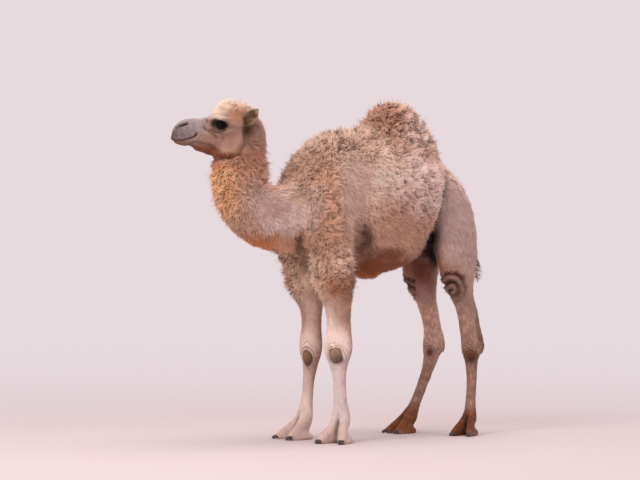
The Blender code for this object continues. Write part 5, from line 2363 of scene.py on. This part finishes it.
@dataclass
class Coat:
    """The whole coat, grown from the finished skin in pieces named for where they lie."""

    skin: Object
    material: Material
    crowding: float = 0.97
    most: int = 198_000        # triangles in one piece
    wisps: float = 0.1         # share of locks that are finer, longer and stand up more
    fineness: float = 0.9      # girth against the coat map's
    short: float = 0.0105      # the longest lock of two rings
    rng: np.random.Generator = field(default_factory=lambda: np.random.default_rng(SEED))

    def roots(self) -> tuple[Array, Array, Array]:
        """Roots, normals and the coat's numbers, sown over the skin by area over spacing squared.

        Returns:
            The three, N x 3, N x 3 and N x 6.
        """
        mesh = self.skin.data
        mesh.calc_loop_triangles()
        tris = read(mesh.loop_triangles, "vertices", 3, np.int32)
        corners, normals = (mesh_points(mesh) - STANCE_SHIFT)[tris], mesh_normals(mesh)
        a, b, c = corners.transpose(1, 0, 2)
        area = np.linalg.norm(np.cross(b - a, c - a), axis=1) / 2
        middle = (a + b + c) / 3
        share = area / COAT_MAP.at(middle)[:, 5] ** 2 * self.growing(middle)
        picks, shares = sow(share, int(share.sum() * self.crowding), self.rng)
        spots = mixed(corners[picks], shares)
        return spots, unit(mixed(normals[tris[picks]], shares)), COAT_MAP.at(spots)

    def growing(self, points: Array) -> Array:
        """1 where hair grows, 0 on lips, nostrils, lids, pads and soles.

        Args:
            points: places in the stance frame, N x 3.

        Returns:
            A share for each place.
        """
        bare = np.zeros(len(points))
        for stroke in FACE_LINES:
            if stroke.tone < 0.7:
                bare = np.maximum(bare, stroke.weight(points) > 0.25)
        for fold in CREASES:
            if fold.bare:
                bare = np.maximum(bare, fold.weight(points) > 0.5)
        for pad in CALLUSES:
            far, _ = pad.polar(points)
            fringe = 0.8 * (far < pad.radius + pad.fringe)
            bare = np.maximum(bare, np.where(far < pad.radius * 1.05, 1.0, fringe))
        for side in Side:
            bare = np.maximum(bare, np.linalg.norm(EYE.place(side).into(points), axis=1) < 0.0245)
            ear = EAR.place(side).into(points)
            bare = np.maximum(bare, (np.abs(ear[:, 0]) < 0.02) & (np.abs(ear[:, 1]) < 0.02)
                              & (ear[:, 2] > 0.004) & (ear[:, 2] < 0.085))
        bare = np.maximum(bare, points[:, 2] < 0.012)
        return 1.0 - bare

    def areas(self, points: Array) -> dict[str, Array]:
        """Which locks belong to which piece.

        Args:
            points: places in the stance frame, N x 3.

        Returns:
            For each piece's name, a truth for each place.
        """
        x, y, z = points.T
        local = HEAD.local(points)
        head = (local[:, 1] > -0.04) & (local[:, 2] > -0.16)
        neck = (y < -0.1) & (z > 0.6) & ~head
        tail = (y > 0.75) & (np.abs(x) < 0.07) & (z > 0.5)
        legs = (z < 0.6) & ~tail
        rest = ~(head | neck | legs | tail)
        left = x >= 0
        over = neck & (local[:, 0] < 0)
        shoulder, quarter = rest & (y < 0.11), rest & (y >= 0.5)
        hump, rib = rest & ~shoulder & ~quarter & (z >= 1.02), rest & ~shoulder & ~quarter & (z < 1.02)
        named = {"head_coat": head, "tail_coat": tail, "fore_leg_coat": legs & (y < 0.35),
                 "hind_leg_coat": legs & (y >= 0.35)}
        named |= {"left_neck_coat": neck & ~over, "right_neck_coat": over}
        for word, lies in (("shoulder", shoulder), ("rib", rib), ("hump", hump), ("quarter", quarter)):
            named |= {f"left_{word}_coat": lies & left, f"right_{word}_coat": lies & ~left}
        return named

    def build(self) -> list[Object]:
        """Every piece of the coat.

        Returns:
            The pieces.
        """
        spots, normals, numbers = self.roots()
        jitter = self.rng.uniform(0.75, 1.2, len(spots))
        lie = LIE.at(spots, normals)
        colour = MARKINGS.at(spots)
        _, length, curl, lift, girth, _ = numbers.T
        length, girth = length * jitter, girth * self.fineness
        wisp = (self.rng.random(len(spots)) < self.wisps) & (curl > 0.4)
        length, girth = length * (1 + 0.45 * wisp), girth * (1 - 0.45 * wisp)
        lift = lift + 20 * wisp
        maker = LockMaker(self.rng)
        every = Locks(spots, normals, lie, length, girth, lift, curl, colour, Cut.WOOL)
        woolly = length > self.short
        pieces = []
        for name, lies in self.areas(spots).items():
            cuts = ((Cut.WOOL, lies & woolly), (Cut.SHORT, lies & ~woolly))
            batches = [maker.surface(replace(every.pick(chosen), cut=cut))
                       for cut, chosen in cuts if chosen.any()]
            locks = LockMesh.joined(batches)
            if len(locks.surface.tris) > self.most:
                LOG.warning("%s wants %d triangles", name, len(locks.surface.tris))
            pieces.append(locks.piece(name, self.material))
        return pieces


@dataclass
class Lashes:
    """Long dark lashes on both lids of both eyes."""

    material: Material
    upper: int = 170
    lower: int = 60
    rng: np.random.Generator = field(default_factory=lambda: np.random.default_rng(SEED + 1))

    def build(self) -> Object:
        """All the lashes as one piece.

        Returns:
            The piece.
        """
        parts = []
        for side in Side:
            for count, first, last, long in ((self.upper, 0.0, 2.95, 0.021), (self.lower, 3.5, 6.1, 0.0085)):
                turn = self.rng.uniform(first, last, count)
                polar = EYE.opening(turn) + self.rng.uniform(0.0, 0.1, count)
                spots = round_ball(EYE.radius + 0.0014, polar, turn)
                normals = unit(spots)
                drop = 0.1 * (long > 0.01)
                fan = np.stack([0.9 * np.cos(turn), 0.35 * np.sin(turn) - drop, 0.9 + 0 * turn], axis=-1)
                lie = unit(along_skin(fan, normals))
                length = long * self.rng.uniform(0.7, 1.15, count)
                place = EYE.place(side)
                colour = np.tile(linear(LASH_COLOUR), (count, 1))
                girth, lift, curl = 0.0004 + 0 * length, 62 + 0 * length, 0 * length
                locks = Locks(place.out(spots), normals @ place.axes, lie @ place.axes, length, girth, lift,
                              curl, colour, Cut.WOOL)
                parts.append(LockMaker(self.rng).surface(locks))
        return LockMesh.joined(parts).piece("lashes", self.material)


@dataclass
class EarHair:
    """Short hair outside each ear, and longer hair from its rims across the cup."""

    material: Material
    count: int = 2400
    rng: np.random.Generator = field(default_factory=lambda: np.random.default_rng(SEED + 2))

    def build(self) -> Object:
        """The hair of both ears as one piece.

        Returns:
            The piece.
        """
        parts = []
        for side in Side:
            shell, inside = EAR.shell(side)
            tri = np.vstack([shell.tris, shell.quads[:, :3], shell.quads[:, [0, 2, 3]]])
            corners = shell.points[tri]
            a, b, c = corners.transpose(1, 0, 2)
            cross = np.cross(b - a, c - a)
            picks, shares = sow(np.linalg.norm(cross, axis=1), self.count, self.rng)
            spots, normals = mixed(corners[picks], shares), unit(cross[picks])
            cup = inside[tri[picks, 0]]
            place = EAR.place(side)
            across, _, height = place.into(spots).T
            tip = place.axes[2] + 0.35 * place.axes[1] * np.where(cup, -1.0, 1.0)[:, None]
            lie = unit(along_skin(tip, normals))
            rim = np.abs(across) > 0.014
            fluffy = cup & ((height < 0.034) | (across < -0.004))
            length = np.where(cup & ~rim & ~fluffy, 0.006, 0.012) * self.rng.uniform(0.7, 1.2, self.count)
            tone = EAR.colour(spots, cup, side)
            pale = 0.45 * fluffy * (self.rng.random(self.count) < 0.7)
            tone = tone + (linear(EAR.rim) - tone) * pale[:, None]
            locks = Locks(spots, normals, lie, length, 0.0007 + 0 * length, np.where(cup, 20.0, 14.0),
                          0.1 + 0 * length, tone, Cut.SHORT)
            parts.append(LockMaker(self.rng).surface(locks.pick(height > 0.0)))
        return LockMesh.joined(parts).piece("ear_coat", self.material)


# ---- eyes and toenails as pieces

@dataclass
class Eyes:
    """Both eyeballs."""

    material: Material

    def build(self) -> list[Object]:
        """One piece for each eye.

        Returns:
            The left piece and the right one.
        """
        pieces = []
        for side in Side:
            surface, iris = EYE.ball(side)
            mesh = surface.mesh(f"{side.word}_eyeball")
            layer = mesh.attributes.new("Iris", "FLOAT", "POINT")
            layer.data.foreach_set("value", iris.astype(np.float32))
            piece = add_piece(f"{side.word}_eyeball", mesh, self.material)
            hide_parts(f"{side.word}_eye")
            pieces.append(piece)
        return pieces


@dataclass
class Toenails:
    """Eight short curved nails, one on the tip of each toe."""

    material: Material
    rows: Rows = (
        (0.044, -0.087, 0.015, 0.009, 0.005), (0.046, -0.097, 0.0142, 0.0132, 0.007),
        (0.048, -0.107, 0.0115, 0.0144, 0.0072), (0.0498, -0.116, 0.0085, 0.0126, 0.0062),
        (0.0512, -0.123, 0.0055, 0.007, 0.004),
    )

    def build(self) -> Object:
        """All the nails as one piece.

        Returns:
            The piece.
        """
        surface = Surface.joined([swept_tube(leg.sized(self.rows, toe), place=leg.foot_place(), sides=20)
                                  for leg in LEGS for toe in (-1, 1)])
        surface.points[:, 2] = np.maximum(surface.points[:, 2], 0.0004)
        piece = add_piece("toenails", surface.mesh("toenails"), self.material)
        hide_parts(*(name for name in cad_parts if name.endswith("toenail")))
        return piece


# ---- studio

@dataclass
class Studio:
    """Pale floor, soft lights and the camera."""

    floor_radius: float = 40.0
    floor_colour: Triple = (208, 194, 194)
    air_colour: Triple = (242, 228, 232)
    air_strength: float = 0.9
    eye_point: Triple = (5.6595, -4.2379, 0.55)
    look_at: Triple = (0.0, -0.126, 0.8)
    lens: float = 98.4

    def floor(self) -> Object:
        """A broad disc at z = 0.

        Returns:
            The disc.
        """
        sides = 96
        turn = np.linspace(0, 2 * np.pi, sides, endpoint=False)
        rim = np.column_stack([np.cos(turn), np.sin(turn), 0 * turn]) * self.floor_radius
        points = np.vstack([rim, np.zeros((1, 3))])
        index = np.arange(sides)
        tris = np.column_stack([index, np.roll(index, -1), np.full(sides, sides)])
        mesh = Surface(points, tris=tris).mesh("floor")
        finish = FloorFinish("floor", self.floor_colour, self.air_colour, self.air_strength)
        mesh.materials.append(finish.build())
        disc = bpy.data.objects.new("floor", mesh)
        bpy.context.scene.collection.objects.link(disc)
        return disc

    def light(self, name: str, spot: Triple, size: float, power: float,
              colour: Triple = (1, 1, 1)) -> None:
        """A square soft light that faces the animal.

        Args:
            name: the light's name.
            spot: where it hangs.
            size: the length of its side.
            power: in watts.
            colour: linear red, green and blue.
        """
        lamp = bpy.data.lights.new(name, "AREA")
        lamp.size, lamp.energy, lamp.color = size, power, colour
        obj = bpy.data.objects.new(name, lamp)
        bpy.context.scene.collection.objects.link(obj)
        aim(obj, spot, (0.0, 0.0, 0.75))

    def build(self) -> None:
        """The whole studio."""
        self.floor()
        self.light("key", (1.4, -4.4, 3.6), 2.4, 150, (1.0, 0.955, 0.91))
        self.light("fill", (5.0, 1.8, 2.6), 3.0, 30, (1.0, 0.96, 0.95))
        self.light("top", (0.2, 0.6, 4.6), 2.4, 75, (1.0, 0.96, 0.96))
        world = bpy.data.worlds.new("air")
        bpy.context.scene.world = world
        world.use_nodes = True
        back = world.node_tree.nodes["Background"]
        back.inputs["Color"].default_value = (*linear(self.air_colour), 1.0)
        back.inputs["Strength"].default_value = self.air_strength
        camera = bpy.data.objects.new("camera", bpy.data.cameras.new("camera"))
        camera.data.lens, camera.data.sensor_width = self.lens, 36.0
        camera.data.clip_end = 200.0
        bpy.context.scene.collection.objects.link(camera)
        aim(camera, self.eye_point, self.look_at)
        bpy.context.scene.camera = camera
        bpy.context.scene.view_settings.view_transform = "Standard"


def aim(obj: Object, spot: Triple, target: Triple) -> None:
    """Puts an object at a spot with its -Z towards a target and its Y up."""
    obj.location = spot
    obj.rotation_euler = (Vector(target) - Vector(spot)).to_track_quat("-Z", "Y").to_euler()


# ---- assembly

def main() -> None:
    """Builds every piece in order and reports it."""
    logging.basicConfig(level=logging.INFO, format="%(message)s", stream=sys.stdout)
    Studio().build()
    wool, hide = WoolFinish().build(), HideFinish().build()
    skin = Skin(hide).build()
    report(skin)
    for piece in Eyes(EyeFinish().build()).build():
        report(piece)
    report(Toenails(HornFinish().build()).build())
    report(Lashes(wool).build())
    report(EarHair(wool).build())
    for piece in Coat(skin, wool).build():
        report(piece)


if __name__ == "__main__":
    main()
